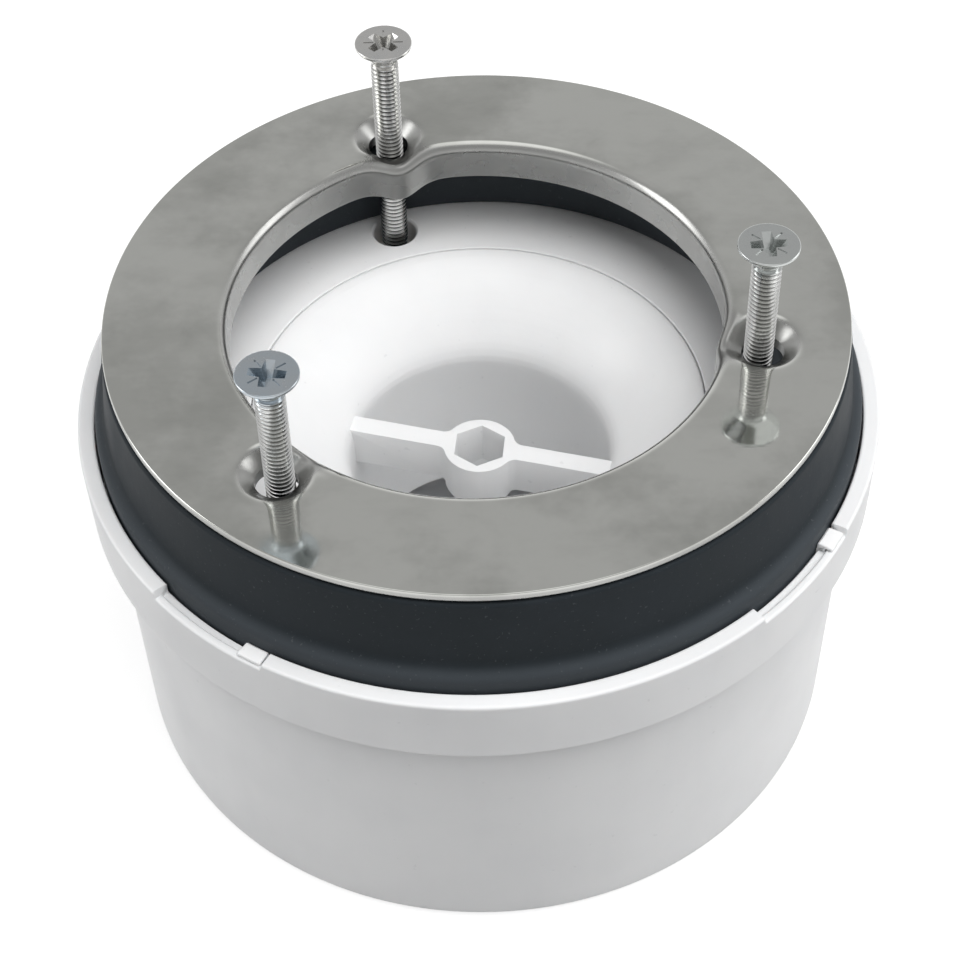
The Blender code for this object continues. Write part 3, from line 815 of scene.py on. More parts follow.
def ease(piece: bpy.types.Object, width: float, segments: int = 2, angle: float = 50.0) -> None:
    """Round the sharp edges of a piece.

    Args:
        piece: the piece.
        width: how far the rounding reaches from the edge.
        segments: its steps.
        angle: the turn in degrees from which an edge is rounded.
    """
    step = piece.modifiers.new("eased_edges", "BEVEL")
    step.width = width
    step.segments = segments
    step.limit_method = "ANGLE"
    step.angle_limit = math.radians(angle)
    step.use_clamp_overlap = True
    settle(piece)


def dress(piece: bpy.types.Object, material: bpy.types.Material, body: str, slot: Slot,
          *nodes: str) -> bpy.types.Object:
    """Shade, paint and mount a finished piece.

    Args:
        piece: the piece.
        material: its finish.
        body: the body that it rides on.
        slot: the record's finish slot; not used.
        nodes: the solids that it stands for.

    Returns:
        The piece.
    """
    piece.data.materials.clear()
    piece.data.materials.append(material)
    piece.data.polygons.foreach_set("material_index", [0] * len(piece.data.polygons))
    piece.data.shade_smooth()
    piece.data.set_sharp_from_angle(angle=CREASE)
    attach(piece, body)
    if nodes:
        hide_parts(*nodes)
    log.info("%s: %d faces on %s", piece.name, len(piece.data.polygons), body)
    return piece


POT_PLASTIC = MouldedPlastic("white_moulded_plastic", (0.85, 0.855, 0.86, 1.0), (0.81, 0.815, 0.825, 1.0))
FLANGE_PLASTIC = MouldedPlastic("bright_flange_plastic", (0.88, 0.883, 0.885, 1.0), (0.85, 0.853, 0.86, 1.0),
                                0.30)
INSERT_PLASTIC = replace(FLANGE_PLASTIC, name="bright_insert_plastic")
# The gasket's flare_z sets where the painted highlight on its flared foot begins.
GASKET_RUBBER = Rubber("black_gasket_rubber", (0.020, 0.025, 0.029, 1.0), (0.031, 0.037, 0.043, 1.0),
                       flare_z=57.2 * MM)
SEAL_RUBBER = Rubber("dark_seal_rubber", (0.016, 0.017, 0.019, 1.0), (0.030, 0.031, 0.033, 1.0), 0.42)
# Below its face the ring gets painted shade on the lip and dimples.
STEEL = PressedSteel("pressed_stainless", (0.625, 0.63, 0.60, 1.0), (0.445, 0.45, 0.425, 1.0))


@dataclass
class Windows:
    """The pot rim's wall and its turn-lock windows, shared by the pot and the flange lugs."""

    rim_wall: float = 2.3 * MM
    count: int = 4
    start: float = 220.2
    end: float = 239.6
    drop: float = 1.0 * MM
    skin: float = 1.2 * MM
    floor: float = 52.35 * MM

    def spans(self) -> list[tuple[float, float]]:
        """Return the start and end azimuth of each window in degrees."""
        pitch = 360.0 / self.count
        return [(self.start + pitch * index, self.end + pitch * index) for index in range(self.count)]

    def inside(self, degrees: float, ease_degrees: float) -> float:
        """Tell how far an azimuth is inside a window.

        Args:
            degrees: the azimuth.
            ease_degrees: how wide the smooth step at a window's end is.

        Returns:
            1 inside a window, 0 outside, and a smooth step over its ends.
        """
        for start, end in self.spans():
            middle = 0.5 * (start + end)
            off = abs((degrees - middle + 180.0) % 360.0 - 180.0) - 0.5 * (end - start)
            share = min(1.0, max(0.0, 0.5 - off / ease_degrees))
            if share > 0.0:
                return share * share * (3.0 - 2.0 * share)
        return 0.0


@dataclass
class PotBody:
    """The moulded pot: wall, collar, windowed rim, ledge, weir, foot and outlet pipe."""

    windows: Windows
    wall: float = 2.4 * MM
    collar_z: float = 43.6 * MM
    collar_draft: float = 0.2 * MM
    collar_step: float = 2.6 * MM
    collar_round: float = 0.28 * MM
    draft: float = 0.8 * MM
    ledge_z: float = 46.0 * MM
    floor: float = 2.5 * MM
    foot_round: float = 1.8 * MM
    foot_width: float = 6.0 * MM
    foot_recess: float = 0.5 * MM
    weir_r: float = 31.8 * MM
    weir_wall: float = 1.8 * MM
    weir_z: float = 34.5 * MM
    weir_root: float = 0.8 * MM
    edge: float = 0.45 * MM
    columns: int = 240
    window_ease: float = 0.42
    window_steps: tuple[float, ...] = (-0.62, -0.5, -0.25, 0.0, 0.25, 0.5, 0.62)
    pipe_r: float = 20.0 * MM
    pipe_wall: float = 2.2 * MM
    pipe_z: float = 22.4 * MM
    pipe_chamfer: float = 1.2 * MM
    pipe_columns: int = 144
    mouth_flare: float = 0.7 * MM
    mouth_depth: float = 0.6 * MM
    stop_r: float = 22.0 * MM
    stop_y: tuple[float, float] = (57.0 * MM, 60.0 * MM)
    stop_root: float = 0.5 * MM

    def section(self, rim_r: float, rim_z: float, window: bool) -> np.ndarray:
        """Return the pot's open outline, from underside centre to floor centre.

        Args:
            rim_r: outer radius of the rim.
            rim_z: height of the rim.
            window: whether the outline is that of a window.

        Returns:
            The outline's points, as many for both kinds.
        """
        rim_in = rim_r - self.windows.rim_wall
        collar_r = rim_r - self.collar_draft
        top_r = collar_r - self.collar_step
        foot_r = top_r - self.draft
        skin_in = rim_r - self.windows.skin if window else rim_in
        top = rim_z - self.windows.drop if window else rim_z
        shelf = self.windows.floor if window else self.windows.floor + self.edge
        inner_foot = foot_r - self.wall
        return rounded_outline([
            Corner(0.0, self.foot_recess),
            Corner(foot_r - self.foot_width - self.foot_recess, self.foot_recess, self.edge, 2),
            Corner(foot_r - self.foot_width, 0.0, 0.3 * self.edge, 2),
            Corner(foot_r, 0.0, self.foot_round, 7),
            Corner(top_r, self.collar_z, self.edge, 4),
            Corner(collar_r, self.collar_z, self.collar_round, 4),
            Corner(rim_r, top, self.edge, 4),
            Corner(skin_in, top, 0.8 * self.edge, 4),
            Corner(skin_in, shelf, 0.3 * self.edge, 2),
            Corner(rim_in, self.windows.floor, 0.2 * self.edge, 2),
            Corner(rim_in, self.ledge_z, 0.5 * self.edge, 2),
            Corner(top_r - self.wall, self.ledge_z, self.edge, 2),
            Corner(inner_foot, self.floor, self.foot_round, 4),
            Corner(self.weir_r, self.floor, self.weir_root, 3),
            Corner(self.weir_r, self.weir_z, self.edge, 3),
            Corner(self.weir_r - self.weir_wall, self.weir_z, self.edge, 3),
            Corner(self.weir_r - self.weir_wall, self.floor, self.weir_root, 3),
            Corner(0.0, self.floor),
        ], closed=False)

    def azimuths(self) -> np.ndarray:
        """Place the pot's columns.

        Returns:
            Their azimuths in degrees, close together at the window ends.
        """
        places = set(np.round(np.arange(self.columns) * 360.0 / self.columns, 4))
        for span in self.windows.spans():
            for end in span:
                near = {round((end + step * self.window_ease) % 360.0, 4) for step in self.window_steps}
                places = {p for p in places if abs((p - end + 180.0) % 360.0 - 180.0) > self.window_ease}
                places |= near
        return np.array(sorted(places))

    def pipe(self, foot_r: float, end_y: float) -> tuple[bpy.types.Object, bpy.types.Object]:
        """Make the outlet pipe.

        Args:
            foot_r: the pot's radius at its foot.
            end_y: where the pipe ends.

        Returns:
            The pipe as a solid, and its bore as a cutter.
        """
        lay = Matrix.Translation((0.0, 0.0, self.pipe_z)) @ Matrix.Rotation(math.radians(-90.0), 4, "X")
        start = foot_r - 0.5 * self.wall
        inner = self.pipe_r - self.pipe_wall
        bore_start = 0.5 * (self.weir_r + foot_r - self.wall)
        solid = turned("pipe_solid", rounded_outline([
            Corner(0.0, start),
            Corner(self.pipe_r, start),
            Corner(self.pipe_r, self.stop_y[0], self.stop_root, 3),
            Corner(self.stop_r, self.stop_y[0], self.edge, 3),
            Corner(self.stop_r, self.stop_y[1], self.edge, 3),
            Corner(self.pipe_r, self.stop_y[1], self.stop_root, 3),
            Corner(self.pipe_r, end_y - self.pipe_chamfer, 0.3 * MM, 2),
            Corner(self.pipe_r - 0.5 * self.pipe_chamfer, end_y, 0.2 * MM, 2),
            Corner(0.0, end_y),
        ], closed=False), even_turn(self.pipe_columns), closed=False)
        bore = turned("pipe_bore", rounded_outline([
            Corner(0.0, bore_start),
            Corner(inner, bore_start),
            Corner(inner, end_y - self.mouth_depth, 0.3 * MM, 2),
            Corner(inner + self.mouth_flare, end_y + 0.1 * MM),
            Corner(inner + self.mouth_flare, end_y + self.wall),
            Corner(0.0, end_y + self.wall),
        ], closed=False), even_turn(self.pipe_columns), closed=False)
        return place(solid, lay), place(bore, lay)

    def build(self) -> bpy.types.Object:
        """Build and dress the pot.

        Returns:
            The piece.
        """
        _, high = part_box("pot_body")
        foot_r = high.x - self.collar_draft - self.collar_step - self.draft
        plain = self.section(high.x, high.z, False)
        opened = self.section(high.x, high.z, True)
        degrees = self.azimuths()
        share = np.array([self.windows.inside(d, self.window_ease) for d in degrees])[:, None, None]
        sections = plain * (1.0 - share) + opened * share
        pot = turned("pot_moulding", sections, np.radians(degrees), closed=False)
        solid, bore = self.pipe(foot_r, high.y)
        hollow = prism("pipe_root", circle(foot_r - 0.5 * self.wall, 120), -self.wall, self.ledge_z)
        carve(solid, hollow, Cut.REMOVE)
        carve(pot, solid, Cut.JOIN)
        carve(pot, bore, Cut.REMOVE)
        return dress(pot, POT_PLASTIC.material(), "pot", Slot.WHITE, "pot_body")


@dataclass
class FixingFlange:
    """The flat flange that locks in the rim windows: plate, sleeve, screw bosses and lugs."""

    windows: Windows
    screws: Sequence[tuple[float, float]]
    plate: float = 3.0 * MM
    skirt: float = 2.0 * MM
    skirt_drop: float = 0.4 * MM
    seat_r: float = 31.85 * MM
    seat_z: float = 49.4 * MM
    top_z: float = 51.2 * MM
    sleeve_r: float = 29.5 * MM
    sleeve_wall: float = 1.7 * MM
    sleeve_z: float = 42.6 * MM
    edge: float = 0.35 * MM
    rim_gap: float = 2.6 * MM
    boss_r: float = 5.2 * MM
    boss_round: float = 0.8 * MM
    boss_z: float = 25.5 * MM
    boss_cap: float = 2.0 * MM
    well_r: float = 3.2 * MM
    well_z: float = 46.85 * MM
    well_mouth: float = 0.35 * MM
    pocket_r: float = 3.15 * MM
    pocket_z: float = 37.75 * MM
    tail_r: float = 2.5 * MM
    lug_span: float = 3.6
    lug_gap: float = 0.35
    lug_setback: float = 0.3 * MM
    lug_rise: float = -0.35 * MM
    lug_round: float = 0.3 * MM
    lug_chamfer: float = 0.25 * MM
    lug_ease: float = 0.22 * MM
    head_clear: float = 0.15 * MM
    neck_clear: float = 0.06 * MM
    gasket_r: float = 52.8 * MM

    def section(self, rim_r: float) -> np.ndarray:
        """Outline plate, skirt, seat and sleeve.

        Args:
            rim_r: outer radius of the pot's rim.

        Returns:
            The points of the loop.
        """
        outer = rim_r - self.rim_gap
        plate_z = self.top_z - self.plate
        sleeve_out = self.sleeve_r + self.sleeve_wall
        return rounded_outline([
            Corner(self.sleeve_r, self.sleeve_z, self.edge, 3),
            Corner(sleeve_out, self.sleeve_z, self.edge, 3),
            Corner(sleeve_out, plate_z, self.sleeve_wall, 5),
            Corner(outer - self.skirt, plate_z, self.edge, 3),
            Corner(outer - self.skirt, plate_z - self.skirt_drop, 0.4 * self.edge, 2),
            Corner(outer, plate_z - self.skirt_drop, self.edge, 3),
            Corner(outer, self.top_z, self.edge, 3),
            Corner(self.seat_r, self.top_z, 0.6 * self.edge, 4),
            Corner(self.seat_r, self.seat_z, 0.4 * self.edge, 2),
            Corner(self.sleeve_r, self.seat_z, self.edge, 3),
        ])

    def bosses(self) -> tuple[bpy.types.Object, bpy.types.Object]:
        """Make the screw bosses.

        Returns:
            The bosses as one solid shape, and their stepped holes as one cutter.
        """
        solids, holes = [], []
        middle = self.top_z - 0.5 * self.plate
        for x, y in self.screws:
            shift = Matrix.Translation((x, y, 0.0))
            boss = turned("boss", rounded_outline([
                Corner(0.0, self.boss_z),
                Corner(self.boss_r, self.boss_z, self.boss_round, 4),
                Corner(self.boss_r, middle),
                Corner(0.0, middle),
            ], closed=False), even_turn(72), closed=False)
            hole = turned("boss_hole", rounded_outline([
                Corner(0.0, self.boss_z + self.boss_cap),
                Corner(self.tail_r, self.boss_z + self.boss_cap, 0.4 * MM, 2),
                Corner(self.tail_r, self.pocket_z),
                Corner(self.pocket_r, self.pocket_z),
                Corner(self.pocket_r, self.well_z),
                Corner(self.well_r, self.well_z),
                Corner(self.well_r, self.top_z - 0.3 * MM, 0.15 * MM, 2),
                Corner(self.well_r + self.well_mouth, self.top_z + 0.05 * MM),
                Corner(self.well_r + self.well_mouth, self.top_z + self.plate),
                Corner(0.0, self.top_z + self.plate),
            ], closed=False), even_turn(64), closed=False)
            solids.append(place(boss, shift))
            holes.append(place(hole, shift))
        return merged("bosses", solids), merged("boss_holes", holes)

    def lugs(self, rim_r: float, rim_z: float) -> bpy.types.Object:
        """Make the turn-lock lugs.

        Args:
            rim_r: outer radius of the pot's rim.
            rim_z: height of the pot's rim.

        Returns:
            The lugs as one shape.
        """
        sill = rim_z - self.windows.drop
        stem_r = rim_r - self.windows.skin - self.head_clear
        neck_r = rim_r - self.windows.rim_wall - self.neck_clear
        head_r = rim_r - self.lug_setback
        root_r = rim_r - self.rim_gap - 2.0 * self.edge
        inner = self.gasket_r + self.neck_clear
        top = rim_z + self.lug_rise
        shoulder = self.top_z - self.edge
        outline = np.array([
            (root_r, shoulder - self.edge),
            (neck_r, shoulder - self.edge),
            (neck_r, self.windows.floor + self.head_clear),
            (stem_r, self.windows.floor + self.head_clear),
            (stem_r, sill + self.head_clear),
            (head_r, sill + self.head_clear),
            (head_r, top - self.lug_round),
            (head_r - 0.3 * self.lug_round, top - 0.3 * self.lug_round),
            (head_r - self.lug_round, top),
            (inner + self.lug_chamfer, top),
            (inner, top - self.lug_chamfer),
            (inner, shoulder),
            (root_r, shoulder),
        ])
        made = []
        for _, end in self.windows.spans():
            last = end - self.lug_gap
            lug = swept_arc("lug", outline, last - self.lug_span, last, 8)
            ease(lug, self.lug_ease, 3, 60.0)
            made.append(lug)
        return merged("lugs", made)

    def build(self) -> bpy.types.Object:
        """Build and dress the flange.

        Returns:
            The piece.
        """
        _, pot_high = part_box("pot_body")
        flange = turned("flange_moulding", self.section(pot_high.x), even_turn(240))
        bosses, holes = self.bosses()
        carve(flange, bosses, Cut.JOIN)
        carve(flange, self.lugs(pot_high.x, pot_high.z), Cut.JOIN)
        carve(flange, holes, Cut.REMOVE)
        return dress(flange, FLANGE_PLASTIC.material(), "flange", Slot.BRIGHT, "fixing_flange")


def knurl_tree() -> bpy.types.NodeTree:
    """Make the tree that sets upright ribs round a sleeve and adds them to it.

    Returns:
        The tree.
    """
    tree = ShapeTree("knurled_sleeve", {"Rib Count": int, "Radius": float, "Rib Width": float,
                                        "Rib Depth": float, "Rib Height": float, "Foot Z": float})
    ring = tree.out("GeometryNodeMeshCircle", None,
                    {"Vertices": tree.size("Rib Count"), "Radius": tree.size("Radius")})
    size = tree.join(tree.size("Rib Depth"), tree.size("Rib Width"), tree.size("Rib Height"))
    rib = tree.out("GeometryNodeMeshCube", None, {"Size": size})
    x, y, _ = tree.split(tree.out("GeometryNodeInputPosition"))
    facing = tree.join(0.0, 0.0, y.maths("ARCTAN2", x))
    ribs = tree.out("GeometryNodeInstanceOnPoints", None,
                    {"Points": ring, "Instance": rib, "Rotation": facing})
    lift = tree.join(0.0, 0.0, tree.size("Foot Z") + tree.size("Rib Height") * 0.5)
    raised = tree.out("GeometryNodeTransform", None, {"Geometry": ribs, "Translation": lift})
    both = tree.out("GeometryNodeJoinGeometry", None, {"Geometry": [tree.size("Geometry"), raised]})
    return tree.close(both)


@dataclass
class BrassInserts:
    """The knurled brass inserts in the screw bosses."""

    screws: Sequence[tuple[float, float]]
    bore_r: float = 2.15 * MM
    body_r: float = 2.95 * MM
    rib_count: int = 36
    rib_width: float = 0.26 * MM
    rib_depth: float = 0.28 * MM
    rib_margin: float = 0.35 * MM
    waist: float = 1.2 * MM
    waist_depth: float = 0.3 * MM
    tint: Colour = (0.74, 0.55, 0.25, 1.0)
    spot_tint: Colour = (0.60, 0.42, 0.17, 1.0)
    polish: float = 0.24

    def sleeve(self, low: float, high: float) -> bpy.types.Object:
        """Make the plain sleeve with its waist and countersunk bore.

        Args:
            low: height of its foot.
            high: height of its top.

        Returns:
            The sleeve.
        """
        middle = 0.5 * (low + high)
        waist_r = self.body_r - self.waist_depth
        return turned("sleeve", rounded_outline([
            Corner(self.bore_r, low + 0.3 * MM, 0.1 * MM, 2),
            Corner(self.bore_r + 0.3 * MM, low),
            Corner(self.body_r, low, 0.15 * MM, 2),
            Corner(self.body_r, middle - 0.5 * self.waist, 0.1 * MM, 2),
            Corner(waist_r, middle - 0.5 * self.waist + self.waist_depth, 0.1 * MM, 2),
            Corner(waist_r, middle + 0.5 * self.waist - self.waist_depth, 0.1 * MM, 2),
            Corner(self.body_r, middle + 0.5 * self.waist, 0.1 * MM, 2),
            Corner(self.body_r, high, 0.15 * MM, 2),
            Corner(self.bore_r + 0.3 * MM, high),
            Corner(self.bore_r, high - 0.3 * MM, 0.1 * MM, 2),
        ]), even_turn(56))

    def build(self) -> list[bpy.types.Object]:
        """Build and dress the three inserts.

        Returns:
            The pieces.
        """
        tree = knurl_tree()
        made = []
        for index, (x, y) in enumerate(self.screws):
            node = f"threaded_insert_{index + 1}"
            low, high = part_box(node)
            finish = TurnedMetal(f"turned_brass_{index + 1}", self.tint, self.spot_tint, self.polish,
                                 (x, y)).material()
            rib = 0.5 * (high.z - low.z - self.waist) - 0.5 * MM
            parts = []
            for foot in (low.z + self.rib_margin, high.z - self.rib_margin - rib):
                band = turned("band", rounded_outline([
                    Corner(self.bore_r + 0.2 * MM, foot + 0.1 * MM),
                    Corner(self.body_r - 0.05 * MM, foot + 0.1 * MM),
                    Corner(self.body_r - 0.05 * MM, foot + rib - 0.1 * MM),
                    Corner(self.bore_r + 0.2 * MM, foot + rib - 0.1 * MM),
                ]), even_turn(24))
                apply_tree(band, tree, {
                    "Rib Count": self.rib_count, "Radius": self.body_r, "Rib Width": self.rib_width,
                    "Rib Depth": self.rib_depth, "Rib Height": rib, "Foot Z": foot, "Material": finish})
                parts.append(band)
            piece = merged(f"brass_insert_{index + 1}", [self.sleeve(low.z, high.z), *parts])
            place(piece, Matrix.Translation((x, y, 0.0)))
            made.append(dress(piece, finish, "flange", Slot.BRASS, node))
        return made


@dataclass
class Seals:
    """The flat seal on the pot ledge and the round seal of the insert."""

    edge: float = 0.25 * MM
    width: float = 2.2 * MM
    ring_r: float = 28.5 * MM
    ring_section: float = 0.95 * MM

    def build(self) -> list[bpy.types.Object]:
        """Build and dress both seals.

        Returns:
            The flat seal and the round seal.
        """
        finish = SEAL_RUBBER.material()
        low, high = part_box("flange_seal")
        inner = high.x - self.width
        middle = 0.5 * (low.z + high.z)
        flat = turned("flat_seal", rounded_outline([
            Corner(inner, low.z, self.edge, 3),
            Corner(high.x, low.z, self.edge, 3),
            Corner(high.x, middle, 0.1 * MM, 2),
            Corner(high.x, high.z, self.edge, 3),
            Corner(inner, high.z, self.edge, 3),
        ]), even_turn(200))
        low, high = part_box("insert_oring")
        middle = 0.5 * (low.z + high.z)
        loop = np.array([(self.ring_r + r, middle + z) for r, z in circle(self.ring_section, 20)])
        ring = turned("round_seal", loop, even_turn(180))
        return [dress(flat, finish, "pot", Slot.SEAL, "flange_seal"),
                dress(ring, finish, "sealing_ring", Slot.SEAL, "insert_oring")]


def moulded_ring_tree() -> bpy.types.NodeTree:
    """Make the tree that sweeps a section round a circle into a full ring.

    Returns:
        The tree.
    """
    tree = ShapeTree("moulded_ring", {"Path Radius": float, "Columns": int})
    path = tree.out("GeometryNodeCurvePrimitiveCircle", None,
                    {"Resolution": tree.size("Columns"), "Radius": tree.size("Path Radius")})
    level = tree.out("GeometryNodeSetCurveNormal", {"mode": "Z_UP"}, {"Curve": path})
    section = tree.out("GeometryNodeMeshToCurve", None, {"Mesh": tree.size("Geometry")})
    ring = tree.out("GeometryNodeCurveToMesh", None, {"Curve": level, "Profile Curve": section})
    return tree.close(ring)


@dataclass
class TrayGasket:
    """The tall rubber gasket under the tray: steep wall, soft ridge and flared foot."""

    inner_r: float = 41.8 * MM
    throat_r: float = 45.3 * MM
    step_z: float = 66.0 * MM
    chamfer: float = 3.0 * MM
    lean: float = 1.1 * MM
    flare: float = 1.5 * MM
    foot_h: float = 4.6 * MM
    flare_h: float = 1.2 * MM
    foot_round: float = 0.7 * MM
    waist_round: float = 0.8 * MM
    slot: tuple[float, float, float] = (46.0 * MM, 48.4 * MM, 5.0 * MM)
    slot_draft: float = 0.4 * MM
    slot_round: float = 0.6 * MM
    edge: float = 0.45 * MM
    columns: int = 260

    def section(self, low: Vector, high: Vector) -> np.ndarray:
        """Outline the gasket.

        Args:
            low: the low corner of its solid's box.
            high: the high corner.

        Returns:
            The points of the loop.
        """
        foot_r = high.x
        waist_r = foot_r - self.flare
        top_r = waist_r - self.lean
        foot_z = low.z + self.foot_h
        slot_in, slot_out, slot_h = self.slot
        return rounded_outline([
            Corner(self.inner_r, low.z, self.edge, 3),
            Corner(slot_in, low.z, 0.3 * MM, 2),
            Corner(slot_in + self.slot_draft, low.z + slot_h, self.slot_round, 3),
            Corner(slot_out - self.slot_draft, low.z + slot_h, self.slot_round, 3),
            Corner(slot_out, low.z, 0.3 * MM, 2),
            Corner(foot_r, low.z, self.edge, 4),
            Corner(foot_r, foot_z, self.foot_round, 6),
            Corner(waist_r, foot_z + self.flare_h, self.waist_round, 6),
            Corner(top_r, high.z, 0.5 * MM, 5),
            Corner(self.throat_r, high.z, 0.35 * MM, 4),
            Corner(self.throat_r, self.step_z, 0.3 * MM, 2),
            Corner(self.inner_r, self.step_z - self.chamfer, 0.8 * MM, 4),
        ])

    def build(self) -> bpy.types.Object:
        """Build and dress the gasket.

        Returns:
            The piece.
        """
        low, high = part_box("tray_gasket")
        outline = self.section(low, high)
        path_r = 0.5 * (self.inner_r + high.x)
        finish = GASKET_RUBBER.material()
        data = bmesh.new()
        loop = [data.verts.new((r - path_r, -z, 0.0)) for r, z in outline]
        for first, second in zip(loop, loop[1:] + loop[:1]):
            data.edges.new((first, second))
        gasket = link_data("gasket_moulding", data)
        apply_tree(gasket, moulded_ring_tree(),
                   {"Path Radius": path_r, "Columns": self.columns, "Material": finish})
        face_outwards(gasket)
        return dress(gasket, finish, "gasket", Slot.RUBBER, "tray_gasket")


def dimple_tree() -> bpy.types.NodeTree:
    """Make the tree that presses evenly spaced dimples into a ring and draws its lip inwards at each.

    Returns:
        The tree.
    """
    tree = ShapeTree("pressed_dimples", {
        "Count": int, "First Azimuth": float, "Circle Radius": float, "Dimple Radius": float, "Slope": float,
        "Softness": float, "Depth": float, "Lip Radius": float, "Lip Reach": float, "Lip Draw": float,
        "Lip Drop": float, "Lip Spread": float})
    x, y, _ = tree.split(tree.out("GeometryNodeInputPosition"))
    radius = (x * x + y * y) ** 0.5
    step = tree.size("Count") ** -1.0 * (2.0 * math.pi)
    local = (y.maths("ARCTAN2", x) - tree.size("First Azimuth")).maths("WRAP", step * 0.5, step * -0.5)
    sideways = radius * local.maths("SINE")
    outwards = radius * local.maths("COSINE") - tree.size("Circle Radius")
    distance = (sideways * sideways + outwards * outwards) ** 0.5
    slant = (tree.size("Dimple Radius") - distance) * tree.size("Slope")
    soft = tree.size("Softness")
    pressed = (slant + (slant * slant + soft * soft) ** 0.5) * 0.5
    pressed = pressed.maths("MINIMUM", tree.size("Depth"))
    ratio = sideways / tree.size("Lip Spread")
    near = (ratio * ratio * -1.0).maths("EXPONENT")
    edge = (radius - tree.size("Lip Radius")) / tree.size("Lip Reach")
    on_lip = (1.0 - edge).maths("MINIMUM", 1.0).maths("MAXIMUM", 0.0)
    on_lip = on_lip * on_lip * (3.0 - on_lip * 2.0)
    draw = near * on_lip * tree.size("Lip Draw") * -1.0
    fall = near * on_lip * tree.size("Lip Drop")
    depth = (pressed ** 3.0 + fall ** 3.0) ** (1.0 / 3.0) * -1.0
    offset = tree.join(x / radius * draw, y / radius * draw, depth)
    moved = tree.out("GeometryNodeSetPosition", None, {"Geometry": tree.size("Geometry"), "Offset": offset})
    return tree.close(moved)


@dataclass
class ClampRing:
    """The pressed steel clamp ring: flat annulus, turned-down lip and a dimple for each screw."""

    first_azimuth: float
    sheet: float = 1.5 * MM
    open_r: float = 33.5 * MM
    bend_r: float = 1.7 * MM
    lip: float = 5.7 * MM
    dimple_circle: float = 38.6 * MM
    dimple_r: float = 5.0 * MM
    dimple_depth: float = 2.55 * MM
    hole_r: float = 2.85 * MM
    slope: float = 0.95
    softness: float = 0.55 * MM
    lip_draw: float = 1.05 * MM
    lip_drop: float = 1.68 * MM
    lip_spread: float = 3.5 * MM
    edge: float = 0.34 * MM
    lip_reach: float = 2.2 * MM
    lip_round: float = 0.35 * MM
    lip_root: float = 0.6 * MM
    under_round: float = 0.85 * MM
    dimple_count: int = SCREW_COUNT
    fine_step: float = 0.22 * MM
    fine_margin: float = 1.6 * MM
    column_margin: float = 1.8 * MM
    coarse_step: float = 1.4

    def section(self, outer: float, top: float) -> np.ndarray:
        """Outline the ring, with fine rows where it is pressed.

        Args:
            outer: its outer radius.
            top: height of its face.

        Returns:
            The points of the loop.
        """
        under = top - self.sheet
        foot = top - self.lip
        fine_end = self.dimple_circle + self.dimple_r + self.fine_margin
        bend_in = self.open_r + self.bend_r
        lip_out = self.open_r + self.sheet
        rows = [(r, top) for r in np.linspace(outer - 1.2 * self.edge, fine_end, 7)]
        rows += [(r, top) for r in np.arange(fine_end - self.fine_step, bend_in, -self.fine_step)]
        for angle in np.radians(np.linspace(90.0, 180.0, 13)):
            across, up = self.bend_r * math.cos(angle), self.bend_r * math.sin(angle)
            rows.append((bend_in + across, top - self.bend_r + up))
        rows += [(self.open_r, z) for z in np.linspace(top - self.bend_r, foot + 0.3 * MM, 8)[1:]]
        rows += [tuple(p) for p in rounded_outline([
            Corner(self.open_r, foot + 0.4 * MM), Corner(self.open_r, foot, 0.2 * MM, 3),
            Corner(lip_out, foot, self.lip_round, 4), Corner(lip_out, foot + 0.8 * MM)], closed=False)[1:-1]]
        rows += [(lip_out, z) for z in np.linspace(foot + 0.6 * MM, under - 0.7 * MM, 6)]
        rows += [tuple(p) for p in rounded_outline([
            Corner(lip_out, under - 0.8 * MM), Corner(lip_out, under, self.lip_root, 5),
            Corner(lip_out + 0.8 * MM, under)], closed=False)[1:-1]]
        rows += [(r, under) for r in np.arange(lip_out + 0.75 * MM, fine_end, 1.5 * self.fine_step)]
        rows += [(r, under) for r in np.linspace(fine_end, outer - 1.9 * MM, 5)]
        rows += [tuple(p) for p in rounded_outline([
            Corner(outer - 2.0 * MM, under), Corner(outer, under, self.under_round, 6),
            Corner(outer, top, self.edge, 8), Corner(outer - 1.4 * self.edge, top)], closed=False)[1:-1]]
        return np.array(rows)

    def azimuths(self) -> np.ndarray:
        """Place the ring's columns.

        Returns:
            Their azimuths in radians, close together over the dimples.
        """
        pitch = 360.0 / self.dimple_count
        span = math.degrees((self.dimple_r + self.column_margin) / self.dimple_circle)
        fine = math.degrees(self.fine_step / self.dimple_circle)
        pressed, plain = np.arange(-span, span, fine), np.arange(span, pitch - span, self.coarse_step)
        local = np.concatenate((pressed, plain))
        turns = [self.first_azimuth + pitch * index + local for index in range(self.dimple_count)]
        return np.radians(np.sort(np.concatenate(turns) % 360.0))

    def build(self) -> bpy.types.Object:
        """Build and dress the ring.

        Returns:
            The piece.
        """
        _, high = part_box("clamp_ring")
        ring = turned("ring_pressing", self.section(high.x, high.z), self.azimuths())
        finish = STEEL.material()
        apply_tree(ring, dimple_tree(), {
            "Count": self.dimple_count, "First Azimuth": math.radians(self.first_azimuth),
            "Circle Radius": self.dimple_circle, "Dimple Radius": self.dimple_r, "Slope": self.slope,
            "Softness": self.softness, "Depth": self.dimple_depth, "Lip Radius": self.open_r + self.bend_r,
            "Lip Reach": self.lip_reach, "Lip Draw": self.lip_draw, "Lip Drop": self.lip_drop,
            "Lip Spread": self.lip_spread, "Material": finish})
        pitch = 360.0 / self.dimple_count
        holes = []
        for index in range(self.dimple_count):
            centre = polar(self.dimple_circle, self.first_azimuth + pitch * index)
            outline = circle(self.hole_r, 72, centre)
            holes.append(prism("hole", outline, high.z - 3.0 * self.lip, high.z + self.lip))
        carve(ring, merged("holes", holes), Cut.REMOVE)
        return dress(ring, finish, "ring", Slot.PRESSED, "clamp_ring")


